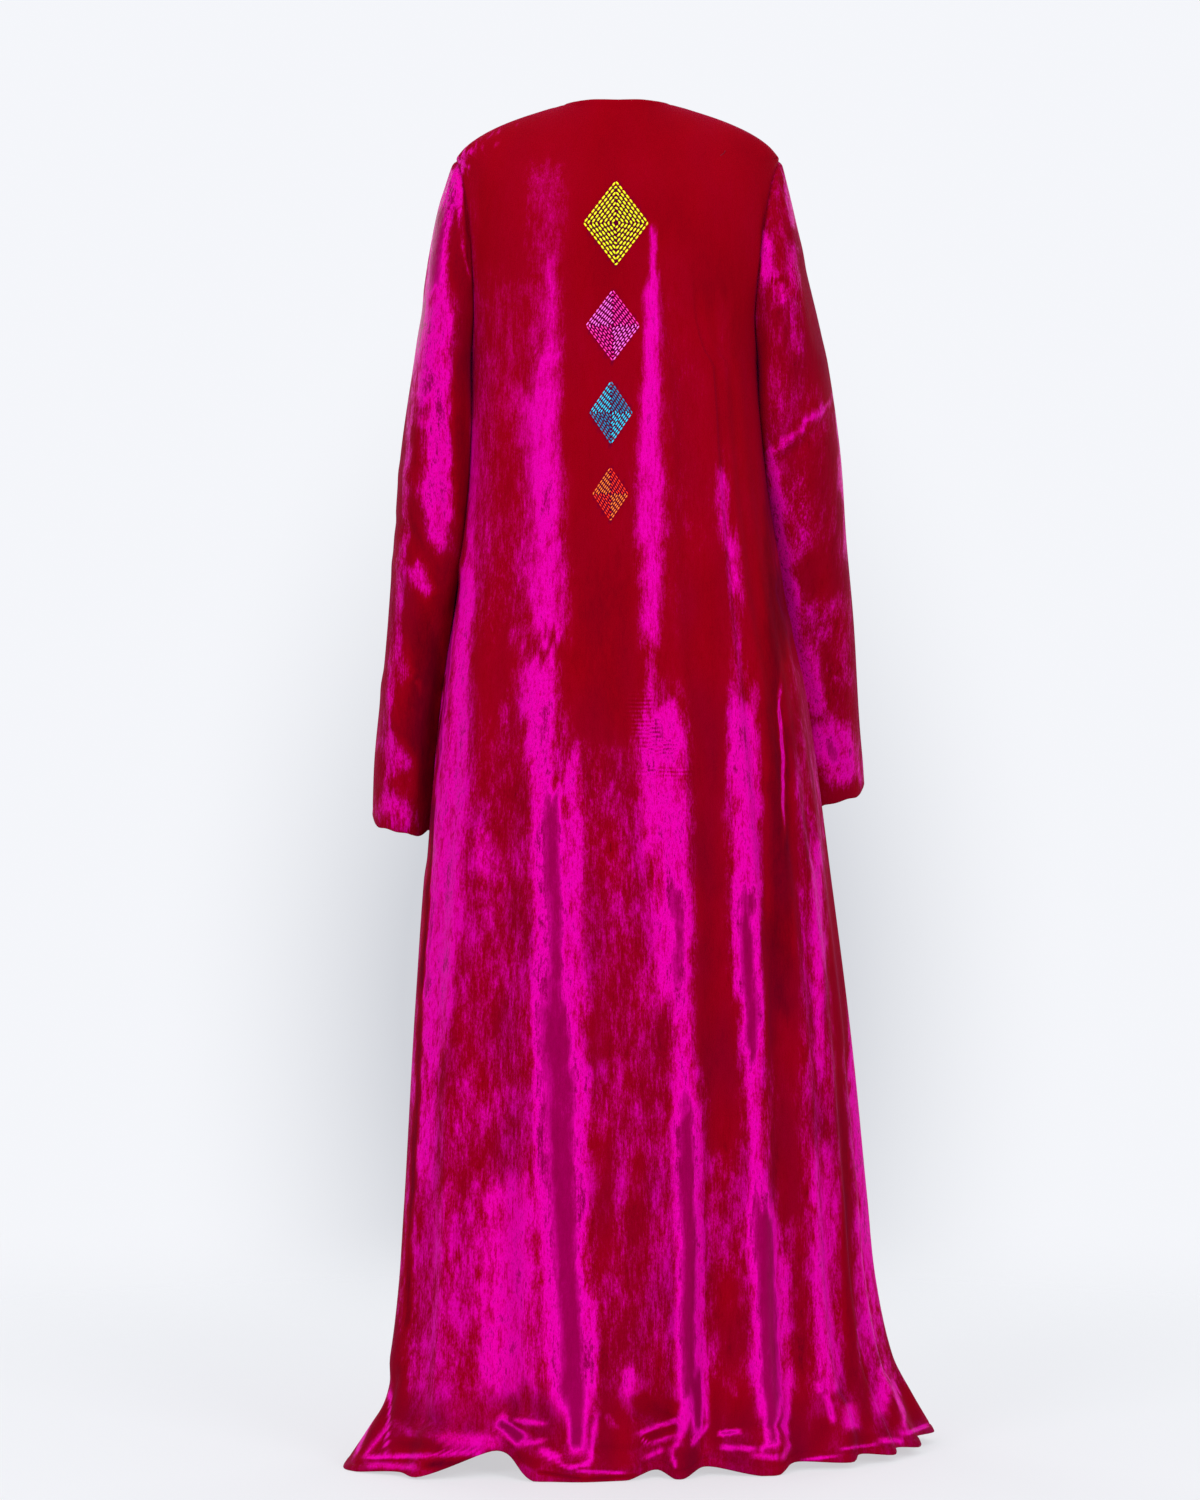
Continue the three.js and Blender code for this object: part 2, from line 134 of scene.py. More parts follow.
FOLDS = table("hem knee chest outHem outChest lift", [
    (-180, -180, -180, 2, 0, 2), (-165, -165, -166, 10, 1, 0), (-152, -153, -154, -9, -1, 8),
    (-138, -140, -141, 15, 2, 0), (-124, -125, -126, -11, -1, 9), (-112, -112, -111, 13, 1, 0),
    (-101, -101, -101, -7, 0, 10), (-90, -90, -90, 14, 0, 12), (-82, -83, -82, -5, 0, 14),
    (-75, -76, -74, 8, 0, 9), (-70.5, -72, -69, -4, 0, 12), (-66, -67, -64, 9, 1, 8),
    (-60.5, -63, -60, -5, 0, 12), (-55, -58, -56, 11, 2, 7), (-46, -51, -53, -10, -1, 10),
    (-36, -44, -50, 15, 3, 0), (-20, -33, -36.7, -12, -2, 10), (-10, -22, -27, 9, 4, 0),
    (-3, -11, -15, -9, -1, 9), (8, 8, 2, 6, 1, 0), (19, 26, 25, 10, 5, 0), (32, 36, 36.7, 4, 2, 0),
    (50, 50, 50, -30, -3, 28), (60, 62, 60, 12, 1, 3), (66, 68, 67, 2, 0, 5), (78, 78, 78, 20, 1, 0),
    (90, 90, 90, 8, 0, 2), (104, 104, 104, -10, 0, 8), (116, 115, 115, 14, 1, 0),
    (129, 129, 130, -10, -1, 9), (141, 142, 143, 13, 2, 0), (153, 154, 155, -9, -1, 7),
    (166, 166, 167, 11, 1, 0), (180, 180, 180, 2, 0, 2),
])

# The sleeves' tubes down their length: the half depth of both, then the outer side's x and z, the inner
# side's x and z and the middle's y of the left one and of the right one
SLEEVE_PARTS = ("OuterX", "OuterZ", "InnerX", "InnerZ", "Y")
SLEEVE_SIDES = [side + part for side in ("left", "right") for part in SLEEVE_PARTS]
SLEEVES = table("along halfDepth " + " ".join(SLEEVE_SIDES), [
    (0, 52, 178, 0, 165, -235, 0, 184, 0, 161, -235, 0),
    (0.06, 60, 199, -45, 166, -262, 0, 200, -43, 166, -260, -2),
    (0.15, 66, 209, -111, 168, -313, -1, 214, -107, 169, -309, -8),
    (0.3, 66, 226, -223, 172, -390, -4, 239, -213, 176, -384, -24),
    (0.45, 62, 243, -334, 179, -468, -8, 256, -320, 186, -458, -44),
    (0.6, 58, 252, -445, 193, -545, -16, 265, -426, 193, -532, -68),
    (0.75, 55, 261, -556, 202, -623, -24, 276, -533, 202, -606, -94),
    (0.9, 55, 273, -668, 211, -700, -32, 284, -639, 209, -681, -118),
    (1, 56, 276, -740, 215, -750, -38, 290, -706, 213, -722, -132),
])

# The pile's tone, painted in strokes with its painted sheen and painted shade: the velvet shows magenta as
# painted sheen where the pile leans. Each row is a soft stroke, laid over the ones above it, from one pixel
# of the photograph to another. The value is 0 for the crimson ground, less for painted shade where it is
# deepest,
# 1 for the magenta of painted sheen and 1.5 for the painted plum of a pile seen almost along its length.
# cover is how much the stroke hides.
STROKE = "x0 y0 x1 y1 halfWidth lean cover"
ROBE_NAP_SHEEN_SHADE = table(STROKE, [
    # The upper back
    (545, 162, 546, 268, 20, 0.52, 0.8), (550, 250, 549, 352, 7, 0.95), (543, 276, 543, 380, 17, 0.86, 0.9),
    (520, 200, 516, 560, 34, 0.2, 0.6), (547, 345, 547, 392, 14, 0.85, 0.9),
    (524, 388, 523, 448, 13, 0.92, 0.95), (544, 386, 543, 470, 17, 0.95), (546, 458, 544, 560, 20, 0.95),
    (516, 545, 522, 580, 13, 0.8, 0.8), (546, 470, 544, 560, 3, 1.25, 0.5), (544, 556, 545, 640, 26, 0.9),
    (500, 280, 496, 640, 30, 0.34, 0.8), (486, 350, 480, 600, 12, 0.46, 0.7),
    (690, 330, 696, 640, 26, 0.2, 0.7), (474, 180, 478, 340, 5, 0.4, 0.7),
    (654, 240, 655, 700, 30, 0.26, 0.5), (652, 228, 652, 300, 3.5, 0.9), (652, 292, 651, 392, 8, 0.98),
    (650, 380, 650, 470, 11, 0.96), (651, 460, 649, 592, 15, 0.98), (650, 590, 648, 650, 12, 0.85),
    (649, 636, 652, 702, 7, 0.66, 0.9), (724, 300, 724, 375, 7, 0.28, 0.7),
    (728, 440, 737, 700, 17, 0.3, 0.5), (722, 470, 725, 545, 6, 0.8, 0.8),
    (732, 540, 735, 606, 7, 0.82, 0.9), (735, 600, 738, 698, 5, 0.55, 0.8),
    # The turn of the shoulder and of the side, at the left
    (456, 166, 478, 138, 4, 0.9, 0.9), (478, 138, 522, 106, 3, 0.7, 0.8),
    (474, 262, 472, 420, 2.5, 0.7, 0.8), (473, 416, 470, 584, 4, 0.8, 0.9),
    # The middle
    (505, 660, 498, 740, 24, 0.14, 0.8), (512, 760, 510, 930, 15, 0.28, 0.7),
    (610, 560, 606, 740, 30, -0.14, 0.8), (765, 210, 769, 560, 5, -0.35, 0.9),
    (771, 560, 777, 700, 4, -0.4, 0.9), (604, 770, 604, 960, 14, 0.34, 0.7),
    (541, 660, 545, 800, 24, 0.5, 0.6), (541, 650, 538, 720, 18, 0.97), (541, 664, 542, 800, 13, 0.97),
    (541, 800, 546, 1062, 11, 0.97), (572, 756, 574, 1062, 11, 0.86, 0.9),
    (545, 720, 547, 920, 4, 1.25, 0.6), (554, 790, 558, 1062, 8, 1.5, 0.9), (663, 703, 664, 860, 24, 0.97),
    (672, 850, 676, 1000, 19, 0.97), (675, 880, 682, 1020, 6, 1.45, 0.8), (684, 985, 686, 1120, 9, 0.94),
    (743, 698, 745, 876, 14, 0.98), (736, 870, 740, 1062, 5, 1), (757, 870, 760, 1062, 5, 0.97),
    (747, 895, 750, 1062, 8, 1.5), (706, 560, 712, 1062, 17, 0), (779, 560, 781, 1062, 15, -0.35),
    (468, 570, 458, 742, 9, 0.92), (456, 735, 434, 1062, 14, 0.9), (452, 620, 438, 770, 4, 1.5, 0.9),
    (460, 574, 444, 640, 1.8, -0.4), (444, 640, 432, 790, 1.8, -0.4), (436, 770, 422, 1062, 4, 1.4, 0.8),
    (482, 820, 482, 880, 9, 0.8, 0.8), (502, 690, 505, 760, 5, 0.6, 0.7),
    (800, 760, 812, 900, 9, 0.42, 0.8), (815, 828, 820, 1062, 5, 0.92, 0.9), (832, 880, 842, 1062, 7, 0.05),
    # The lower skirt
    (484, 1000, 484, 1072, 30, 0.32, 0.7), (430, 1000, 420, 1200, 13, 0.85, 0.9),
    (508, 1180, 506, 1392, 32, 0.96, 0.9), (446, 1180, 438, 1400, 32, 0.62, 0.9),
    (450, 1178, 505, 1146, 11, 0.2, 0.8), (396, 1350, 394, 1425, 8, 0, 0.9), (540, 1000, 543, 1210, 8, 1),
    (545, 1200, 552, 1395, 8, 0.9), (556, 1000, 574, 1412, 17, 1.45), (580, 1000, 592, 1395, 8, 0.96),
    (594, 1010, 600, 1070, 14, 0.12, 0.9), (606, 1132, 606, 1276, 17, 0.12, 0.9),
    (636, 1150, 636, 1290, 12, 0.2, 0.8), (618, 1000, 622, 1240, 7, 0.56, 0.8),
    (630, 1290, 630, 1376, 26, 0.32, 0.8), (630, 1376, 632, 1412, 9, 0.95, 0.9),
    (678, 1062, 682, 1392, 7, 0.92), (687, 1090, 692, 1410, 10, 1.45), (699, 1110, 702, 1392, 5, 0.94),
    (724, 1000, 724, 1150, 18, 0.02), (724, 1160, 726, 1270, 18, 0.42, 0.8),
    (728, 1270, 732, 1392, 16, 0.12, 0.9), (752, 1062, 760, 1250, 7, 0.9), (762, 1200, 772, 1410, 13, 1.45),
    (784, 1010, 790, 1230, 13, 0.1), (783, 1240, 788, 1390, 5, 0.9, 0.8),
    (800, 1220, 804, 1390, 10, 0.22, 0.9), (818, 1150, 828, 1380, 11, 0.82, 0.9),
    (841, 1062, 852, 1384, 5, -0.1), (852, 1000, 872, 1340, 8, 0.84), (432, 790, 421, 1000, 2.5, -0.4),
    (421, 1000, 406, 1340, 3, -0.3), (782, 690, 784, 830, 2, 1.45, 0.9),
    (790, 650, 812, 830, 10, 0.34, 0.8),
    # The painted glints and the painted shade in the hollows at the left, where the hem buckles against the
    # floor
    (384, 1400, 356, 1458, 7, -0.1), (382, 1396, 354, 1458, 2.2, 1), (385, 1422, 364, 1456, 2.2, 0.95),
    (386, 1388, 386, 1450, 1.8, 1.2, 0.9), (398, 1362, 400, 1416, 8, 0),
    (390, 1420, 418, 1438, 4, 0.6, 0.9), (394, 1444, 446, 1447, 6, -0.15),
    (436, 1440, 500, 1442, 8, 0.9, 0.9), (364, 1457, 418, 1456, 2.5, 1), (418, 1456, 474, 1452, 2.5, 0.9),
    (366, 1465, 418, 1467, 4, 0.8), (424, 1465, 474, 1462, 4, -0.4), (474, 1450, 484, 1458, 3, 0.9),
    (498, 1420, 522, 1442, 7, 1.5), (500, 1414, 510, 1420, 4, 0.9, 0.9),
    (516, 1420, 546, 1424, 3, 0.95, 0.9), (522, 1444, 546, 1440, 3, 0.9, 0.9),
    (529, 1432, 533, 1432, 4, 0.1),
    # The hem's lobe in the middle
    (516, 1454, 540, 1466, 5, 0), (540, 1449, 560, 1458, 4, 1), (576, 1385, 577, 1452, 9, 1.45),
    (540, 1453, 569, 1468, 2.4, 0.95), (569, 1468, 590, 1463, 2.4, 1), (590, 1463, 597, 1412, 2.8, 1),
    (612, 1400, 618, 1466, 13, 0.08, 0.9), (606, 1414, 616, 1430, 4, 0.7, 0.8),
    (576, 1471, 624, 1473, 2, 0.95), (540, 1472, 584, 1479, 2, -0.2), (584, 1479, 634, 1476, 2, -0.2),
    (632, 1400, 680, 1412, 9, -0.1), (640, 1440, 674, 1427, 4, -0.1), (638, 1434, 678, 1419, 2.4, 1),
    (640, 1438, 650, 1444, 2, 0.9), (650, 1444, 672, 1436, 2, 0.8), (644, 1458, 664, 1449, 3, 0.8),
    # The foot of the long fold
    (698, 1380, 698, 1432, 5, 1.5), (688, 1398, 678, 1442, 6, 1), (678, 1442, 670, 1452, 3, 0.9),
    (704, 1380, 709, 1424, 2.4, 1), (709, 1424, 692, 1445, 2.6, 1), (716, 1380, 716, 1448, 6, 0),
    (688, 1450, 684, 1474, 9, -0.05), (671, 1453, 676, 1468, 2.6, 0.95),
    # The hem's right end
    (738, 1396, 740, 1430, 15, 0), (718, 1434, 740, 1431, 3, 1.4, 0.9), (720, 1447, 757, 1449, 3, 0.95),
    (724, 1456, 752, 1466, 4, 0.3, 0.9), (772, 1386, 772, 1446, 7, 1.45), (758, 1345, 759, 1396, 3, 1),
    (759, 1396, 769, 1440, 3, 1), (769, 1440, 760, 1452, 3, 1), (790, 1373, 786, 1440, 4, 0.95),
    (786, 1440, 783, 1460, 3, 0.9), (752, 1455, 779, 1458, 3.5, 1, 0.9), (756, 1468, 792, 1470, 3, 0.2),
    (800, 1390, 798, 1466, 7, 0.1), (826, 1420, 812, 1452, 9, -0.05), (819, 1378, 834, 1422, 2, 1.15),
    (802, 1460, 836, 1456, 1.8, 0.85), (832, 1345, 834, 1388, 8, 0.8, 0.9), (864, 1362, 868, 1430, 5, 0),
    (848, 1404, 852, 1430, 8, 0.98), (846, 1440, 876, 1436, 4, 0), (842, 1449, 878, 1444, 1.8, 0.85),
    (880, 1370, 886, 1412, 7, 0.95), (892, 1398, 894, 1428, 4, 0), (890, 1380, 904, 1413, 3.5, 0.97),
    (904, 1413, 903, 1436, 2.5, 0.85), (881, 1440, 903, 1441, 3, 0.9), (904, 1385, 918, 1420, 7, 0.06),
    (905, 1434, 928, 1425, 2.4, 1),
])

# The sleeves' pile tone, in strokes like the robe's, with painted sheen and painted shade
SLEEVE_NAP_SHEEN_SHADE = table(STROKE, [
    # The wearer's left sleeve, at the left of the photograph
    (456, 168, 450, 205, 12, 0.92), (446, 205, 446, 300, 7, 0.88), (441, 200, 434, 300, 7, 1.5, 0.9),
    (463, 170, 460, 230, 2.5, 0.85, 0.9), (468, 190, 464, 262, 2, 0.8, 0.8),
    (458, 232, 463, 380, 11, -0.05), (465, 185, 470, 275, 2, -0.4, 0.9),
    (463, 240, 470, 280, 1.8, 0.8, 0.8), (438, 296, 432, 410, 22, 0.9), (425, 300, 415, 350, 4, 1.4, 0.8),
    (442, 405, 438, 432, 8, 1.35, 0.8), (434, 415, 436, 470, 18, 0.92), (434, 450, 441, 552, 22, 0.96),
    (460, 350, 462, 560, 7, -0.25, 0.9), (414, 430, 410, 486, 12, 0.12), (458, 515, 455, 562, 9, 0.22, 0.9),
    (404, 490, 420, 562, 15, -0.05), (440, 560, 450, 620, 15, -0.15), (412, 562, 430, 596, 9, 0.74, 0.9),
    (404, 600, 424, 640, 14, 0.12, 0.9), (430, 606, 416, 760, 20, -0.3), (392, 655, 408, 680, 9, 0.6, 0.8),
    (418, 684, 424, 694, 5, 0.55, 0.8), (388, 736, 404, 772, 11, 0.74, 0.9), (430, 640, 424, 800, 10, -0.4),
    (378, 800, 412, 822, 12, 0.8, 0.9), (412, 400, 397, 640, 4, 0.75, 0.8),
    (394, 636, 384, 806, 4, 0.7, 0.8),
    # The right one
    (790, 160, 800, 440, 44, 0.26, 0.9), (770, 160, 778, 240, 8, 0.25, 0.9),
    (781, 156, 796, 236, 3, 0.75, 0.9), (787, 162, 804, 240, 2, -0.3, 0.9), (765, 234, 768, 274, 6, 0.97),
    (768, 272, 788, 304, 9, 0.8, 0.9), (768, 282, 792, 280, 1.6, -0.2, 0.9),
    (793, 245, 794, 300, 7, 0.8, 0.9), (795, 300, 798, 362, 8, 0.66, 0.9), (812, 250, 828, 390, 15, 0),
    (770, 305, 772, 430, 10, 0.3, 0.8), (764, 330, 762, 440, 4, -0.1, 0.9),
    (768, 458, 790, 437, 5, 0.82, 0.9), (790, 437, 834, 397, 3, 0.78, 0.9), (772, 462, 778, 536, 10, 0.96),
    (796, 476, 802, 566, 9, 0.58, 0.9), (778, 532, 796, 612, 9, 0.97), (796, 608, 818, 716, 11, 0.97),
    (822, 470, 828, 560, 12, 0.2, 0.9), (806, 556, 838, 592, 18, 0.04, 0.9),
    (812, 610, 840, 690, 18, 0.46, 0.9), (826, 640, 832, 668, 8, 0.1, 0.8), (826, 724, 846, 782, 22, 0.95),
    (830, 738, 834, 766, 5, 1.35, 0.8), (822, 790, 852, 800, 8, 0.1), (836, 400, 846, 560, 2, 0.9, 0.8),
    (850, 560, 862, 720, 4, 0.3, 0.9), (772, 440, 780, 600, 4, 0.97), (784, 590, 800, 670, 6, 0.97),
])

# Creases finer than the solids hold, in the photograph's pixels. out is in mm, and is negative in a trough.
CREASE = "x0 y0 x1 y1 halfWidth out"
ROBE_CREASES = table(CREASE, [
    # The strip that stands out along the left side seam
    (459, 575, 446, 650, 4, -3.5), (446, 650, 437, 735, 4, -4), (437, 735, 428, 865, 4, -3),
    (466, 560, 452, 700, 7, 2), (452, 700, 438, 900, 7, 2),
    # The slits and the narrow folds along the right one
    (779, 586, 787, 614, 3, -4), (792, 634, 799, 668, 3, -4), (781, 690, 789, 790, 4, -2.5),
    (797, 720, 808, 800, 4, 2), (806, 780, 812, 860, 4, -2), (812, 830, 826, 1000, 6, 2),
    # The long soft folds of the back
    (545, 320, 541, 520, 14, 1.5), (653, 240, 652, 520, 12, 1.6), (605, 420, 602, 700, 12, -1),
    (723, 460, 740, 700, 10, 1.5), (690, 300, 692, 560, 16, -1.2), (580, 200, 578, 480, 14, -0.8),
    (560, 780, 568, 1060, 5, -1.8), (682, 870, 688, 1120, 5, -1.5), (750, 880, 752, 1080, 6, -1.6),
    (500, 600, 490, 900, 18, -1), (622, 760, 622, 1000, 16, -1), (715, 760, 718, 1060, 12, -1.2),
    (630, 862, 652, 886, 1.6, -0.5), (652, 886, 668, 905, 1.6, -0.4), (636, 770, 690, 771, 1.8, -0.4),
    # The back of the neck, where the facing presses through
    (575, 112, 588, 146, 3, 0.35), (588, 146, 613, 161, 3, 0.35), (613, 161, 638, 146, 3, 0.35),
    (638, 146, 650, 112, 3, 0.35), (612, 105, 612, 172, 2.5, 0.3), (626, 105, 626, 172, 2.5, 0.3),
    # The lower skirt
    (430, 1000, 415, 1250, 7, 2), (470, 1050, 455, 1380, 16, -2), (520, 1100, 520, 1400, 16, 2),
    (605, 1150, 612, 1400, 10, -2), (640, 1100, 640, 1400, 14, 1.5), (668, 1150, 664, 1420, 7, -2),
    (712, 1100, 712, 1400, 8, -2), (800, 1100, 812, 1400, 6, -2.5), (845, 1050, 868, 1400, 5, -2),
    # Buckles where the hem meets the floor
    (392, 1370, 376, 1452, 6, -6), (408, 1430, 470, 1448, 6, 4), (420, 1418, 476, 1432, 5, -4),
    (492, 1416, 536, 1422, 6, 5), (498, 1430, 545, 1436, 5, -4), (572, 1430, 600, 1412, 5, 4),
    (556, 1448, 640, 1452, 5, -3.5), (560, 1466, 640, 1468, 6, 4), (636, 1414, 680, 1432, 5, -5),
    (640, 1402, 682, 1414, 5, 3.5), (662, 1440, 700, 1436, 5, -3), (706, 1456, 734, 1428, 6, 4),
    (734, 1428, 752, 1388, 6, 4), (724, 1462, 752, 1440, 5, -4), (742, 1444, 800, 1448, 7, 4),
    (750, 1428, 792, 1424, 5, -4), (806, 1404, 826, 1440, 5, -4), (840, 1400, 856, 1444, 5, 4),
    (868, 1390, 884, 1440, 5, -4), (884, 1380, 902, 1436, 5, 4), (896, 1376, 920, 1428, 4, -4),
])

SLEEVE_CREASES = table(CREASE, [
    # The left sleeve
    (455, 200, 440, 330, 7, -2), (440, 190, 428, 300, 7, 2), (428, 330, 416, 470, 9, 2.5),
    (452, 340, 444, 520, 7, -3), (404, 470, 440, 530, 8, 2.5), (398, 520, 436, 574, 7, -3),
    (396, 560, 430, 610, 8, 2.5), (400, 625, 424, 700, 7, -2.5), (424, 600, 440, 660, 7, -2.5),
    (386, 680, 404, 760, 7, 2.5), (412, 700, 406, 800, 7, -2.5), (384, 780, 412, 802, 6, 2),
    # The right one
    (774, 284, 798, 300, 3, -1.6), (776, 292, 796, 308, 3, 1.6), (782, 240, 778, 290, 7, 2),
    (802, 260, 822, 350, 7, -2.5), (812, 250, 832, 350, 6, 2), (768, 456, 800, 432, 5, 2.8),
    (800, 432, 820, 412, 5, 1.2), (770, 468, 804, 444, 5, -2.2), (804, 444, 828, 418, 5, -1.2),
    (782, 480, 794, 560, 7, 2.5), (800, 500, 812, 600, 7, -2.5), (794, 560, 804, 650, 7, 2.5),
    (806, 640, 824, 710, 7, 2.5), (820, 620, 838, 720, 8, -3), (838, 690, 852, 770, 8, 2.5),
    (826, 740, 846, 790, 6, -2),
])

# How much the pile is ruffled down the robe, and how deep its painted shade is, by the photograph's height
RUFFLED = table("y ruffle grit shade", [
    (100, 0.3, 0.45, 0.05),
    (380, 0.5, 0.65, 0.08),
    (640, 0.75, 0.8, 0.12),
    (800, 1, 0.9, 0.24),
    (1360, 1, 0.9, 0.26),
    (1420, 0.5, 0.5, 0.36),
])
SLEEVE_RUFFLE = 1
SLEEVE_GRIT = 1.0
# painted shade on the sleeves' pile
SLEEVE_SHADE = 0.22
SLEEVE_FRAY = 0.3
SLEEVE_BASE = 0.2  # the tone of a sleeve's pile between its strokes, a crimson
HEM_SMOOTH = (1370, 40)  # where strokes stop wandering, and over how many pixels
TONE_STROKE_ENDS, CREASE_ENDS, CRUSH_ENDS = 46, 30, 20  # how far the ends of strokes fade, in pixels

# Patches of fine crushed ripples across the pile
CRUSHED = table("x0 y0 x1 y1 halfWidth", [
    (628, 706, 652, 708, 10), (632, 724, 660, 730, 10), (640, 744, 676, 748, 8), (640, 772, 690, 772, 4),
])
CRUSH_PITCH = 4.6

# The gathers of a sleeve's cap: where each is round the armhole, and how long and deep it is
PUCKERS = table("turn width length depth", [
    (-6.2, 0.45, 45, 0.8), (-4.9, 0.35, 60), (-3.8, 0.4, 80, 0.9), (-2.7, 0.3, 65), (-1.7, 0.35, 90, 0.8),
    (-0.6, 0.3, 75), (0.4, 0.4, 95, 0.9), (1.5, 0.3, 70), (2.4, 0.35, 110), (3.4, 0.3, 80, 0.9),
    (4.3, 0.4, 95), (5.4, 0.35, 60, 0.9), (6.5, 0.4, 50, 0.7),
])

# The embroidered diamonds: the middle, in mm, and the half sizes, with the rows and length of the stitches.
# The thread's colours are a lit and a shaded copy of its colour, painted light and painted shade on the
# sides that rise and fall towards the wearer's right, and end is the painted shade where a stitch goes into
# the cloth.
DIAMOND = "name x z half rows stitch rising falling end"
DIAMONDS = [dict(zip(DIAMOND.split(), row)) for row in [
    ("yellow", -1, -84, (35.3, 47), 8, 6.3, (1, 0.9, 0.02), (0.95, 0.92, 0.015), (0.24, 0.42, 0.005)),
    ("pink", 2.5, -198.5, (29.3, 39.2), 9, 6.2, (1, 0.15, 0.78), (1, 0.03, 0.42), (0.35, 0, 0.14)),
    ("blue", 4.4, -295, (23.2, 34.3), 8, 5.6, (0.02, 0.68, 1), (0.01, 0.25, 0.5), (0.03, 0.03, 0.1)),
    ("orange", 5, -385, (19.3, 29.2), 7, 5.2, (1, 0.22, 0.03), (0.95, 0.03, 0.01), (0.3, 0.005, 0.01)),
]]
THREAD_SHARE = 0.28  # the thread's radius as a share of the distance from row to row
STITCH_GAP = 0.2  # the share of a stitch's length that is under the cloth
STITCH_STEPS = 6
THREAD_SIDES = 7
STITCH_RISE = 0.75
CORNER_ROUND = 0.9  # mm
ROW_SHIFT = 0.55  # how far each row's stitches are shifted from the last row's, as a share of a stitch

# The noise that ruffles the pile, in patches, and the finer noise of its grit
NOISE = "size stretch detail amount"
RUFFLE_NOISE = table(NOISE, [(34, 2.2, 3, 0.6), (10, 3.2, 4, 0.8)])
GRIT_NOISE = table(NOISE, [(4.2, 3.5, 3, 0.42), (1.5, 2.5, 2, 0.6), (1.6, 14, 2, 0.5)])
PRESSED_AND_SHADED_PILE = (0.09, 0, 0.022)  # the colour of pile pressed under the embroidery, and of painted shade

# The colours of the pile at each value of its tone: the crimson ground, painted shade below 0, the magenta
# of painted sheen and, beyond it, the painted plum
PILE_TONE_SHEEN_SHADE_COLOURS = [
    (-0.5, (0.12, 0, 0.001)),
    (0, (0.295, 0, 0.0035)),
    (0.25, (0.33, 0, 0.009)),
    (0.45, (0.43, 0, 0.06)),
    (0.65, (0.57, 0, 0.17)),
    (0.85, (0.73, 0, 0.32)),
    (1, (0.82, 0.001, 0.42)),
    (1.15, (0.6, 0.001, 0.25)),
    (1.4, (0.32, 0, 0.08)),
    (1.6, (0.25, 0, 0.05)),
]


def smooth(t):
    t = np.clip(t, 0, 1)
    return t * t * (3 - 2 * t)


def lerp(a, b, t):
    return a + (b - a) * t


def unit(vectors):
    return vectors / np.linalg.norm(vectors, axis=-1, keepdims=True)


def place(keys, value):
    """The row before a value, and how far it is to the next one."""
    sign = 1 if keys[0] < keys[-1] else -1
    i = np.clip(np.searchsorted(sign * keys, sign * value, side="right") - 1, 0, len(keys) - 2)
    return i, np.clip((value - keys[i]) / (keys[i + 1] - keys[i]), 0, 1)


def curve(rows, key, column):
    """A smooth curve through a column, level beyond its ends."""
    at, to = rows[key], rows[column]
    before = np.maximum(np.arange(len(at)) - 1, 0)
    after = np.minimum(np.arange(len(at)) + 1, len(at) - 1)
    slope = (to[after] - to[before]) / (at[after] - at[before])

    def value_at(value):
        value = np.asarray(value, float)
        i, t = place(at, value)
        span = at[i + 1] - at[i]
        bend = (1 - t) * slope[i] * span - t * slope[i + 1] * span
        rise = to[i + 1] - to[i]
        return to[i] + t * rise + t * (1 - t) * (bend - (1 - 2 * t) * rise)

    return value_at


def stepped(rows, key, column, ease):
    """From row to row: straight, or with ease round-topped, as cloth falls from fold to fold."""
    def value_at(value):
        i, t = place(rows[key], np.asarray(value, float))
        return lerp(rows[column][i], rows[column][i + 1], ease(t))

    return value_at


half_width, middle_x, back_y, front_y, twist = (curve(BODY, "z", column) for column in list(BODY)[1:])
shoulder_z = curve(SHOULDER, "x", "z")
front_edge_x = curve(FRONT_EDGE, "z", "x")
fold_at_knee, fold_at_chest = (stepped(FOLDS, "hem", column, lambda t: t) for column in list(FOLDS)[1:3])
out_hem, out_chest, lift = (stepped(FOLDS, "hem", column, smooth) for column in list(FOLDS)[3:])
ruffle_at, grit_at, shade_at = (stepped(RUFFLED, "y", column, smooth) for column in list(RUFFLED)[1:])


def fold_angle(c, z):
    """The place round the body, at height z, of the fold that meets the hem at the angle c."""
    low = lerp(fold_at_knee(c), c, (KNEE_Z - z) / (KNEE_Z - FLOOR_Z))
    up = np.clip((z - KNEE_Z) / (CHEST_Z - KNEE_Z), 0, 1)
    return np.where(z < KNEE_Z, low, lerp(fold_at_knee(c), fold_at_chest(c), up))


def fold_out(c, z):
    down = np.clip((CHEST_Z - z) / (CHEST_Z - FLOOR_Z), 0, 1)
    shown = smooth((FOLDS_START_Z - z) / (FOLDS_START_Z - CHEST_Z))
    return out_chest(c) * shown + (out_hem(c) - out_chest(c)) * down ** FOLD_GROWTH


def armhole_cut(z):
    share = np.clip(z / UNDERARM_Z, 0, 1)
    return 2 * np.sqrt(share * (1 - share))


def front_edge_angle(z):
    x = front_edge_x(z)
    y = front_y(z) * (1 - (x / half_width(z)) ** RING_POWER) ** (1 / RING_POWER)
    return 180 - np.degrees(np.arctan2(x, y))


def body_angle(c, z):
    angle = fold_angle(c, z)
    at_back = angle * (1 - ARMHOLE_BACK_TURN * armhole_cut(z) / 90)
    start = 90 + ARMHOLE_FRONT_TURN * armhole_cut(z)
    at_front = np.sign(c) * lerp(start, front_edge_angle(z), (np.abs(angle) - 90) / 90)
    return np.where(np.abs(c) <= 90, at_back, at_front)


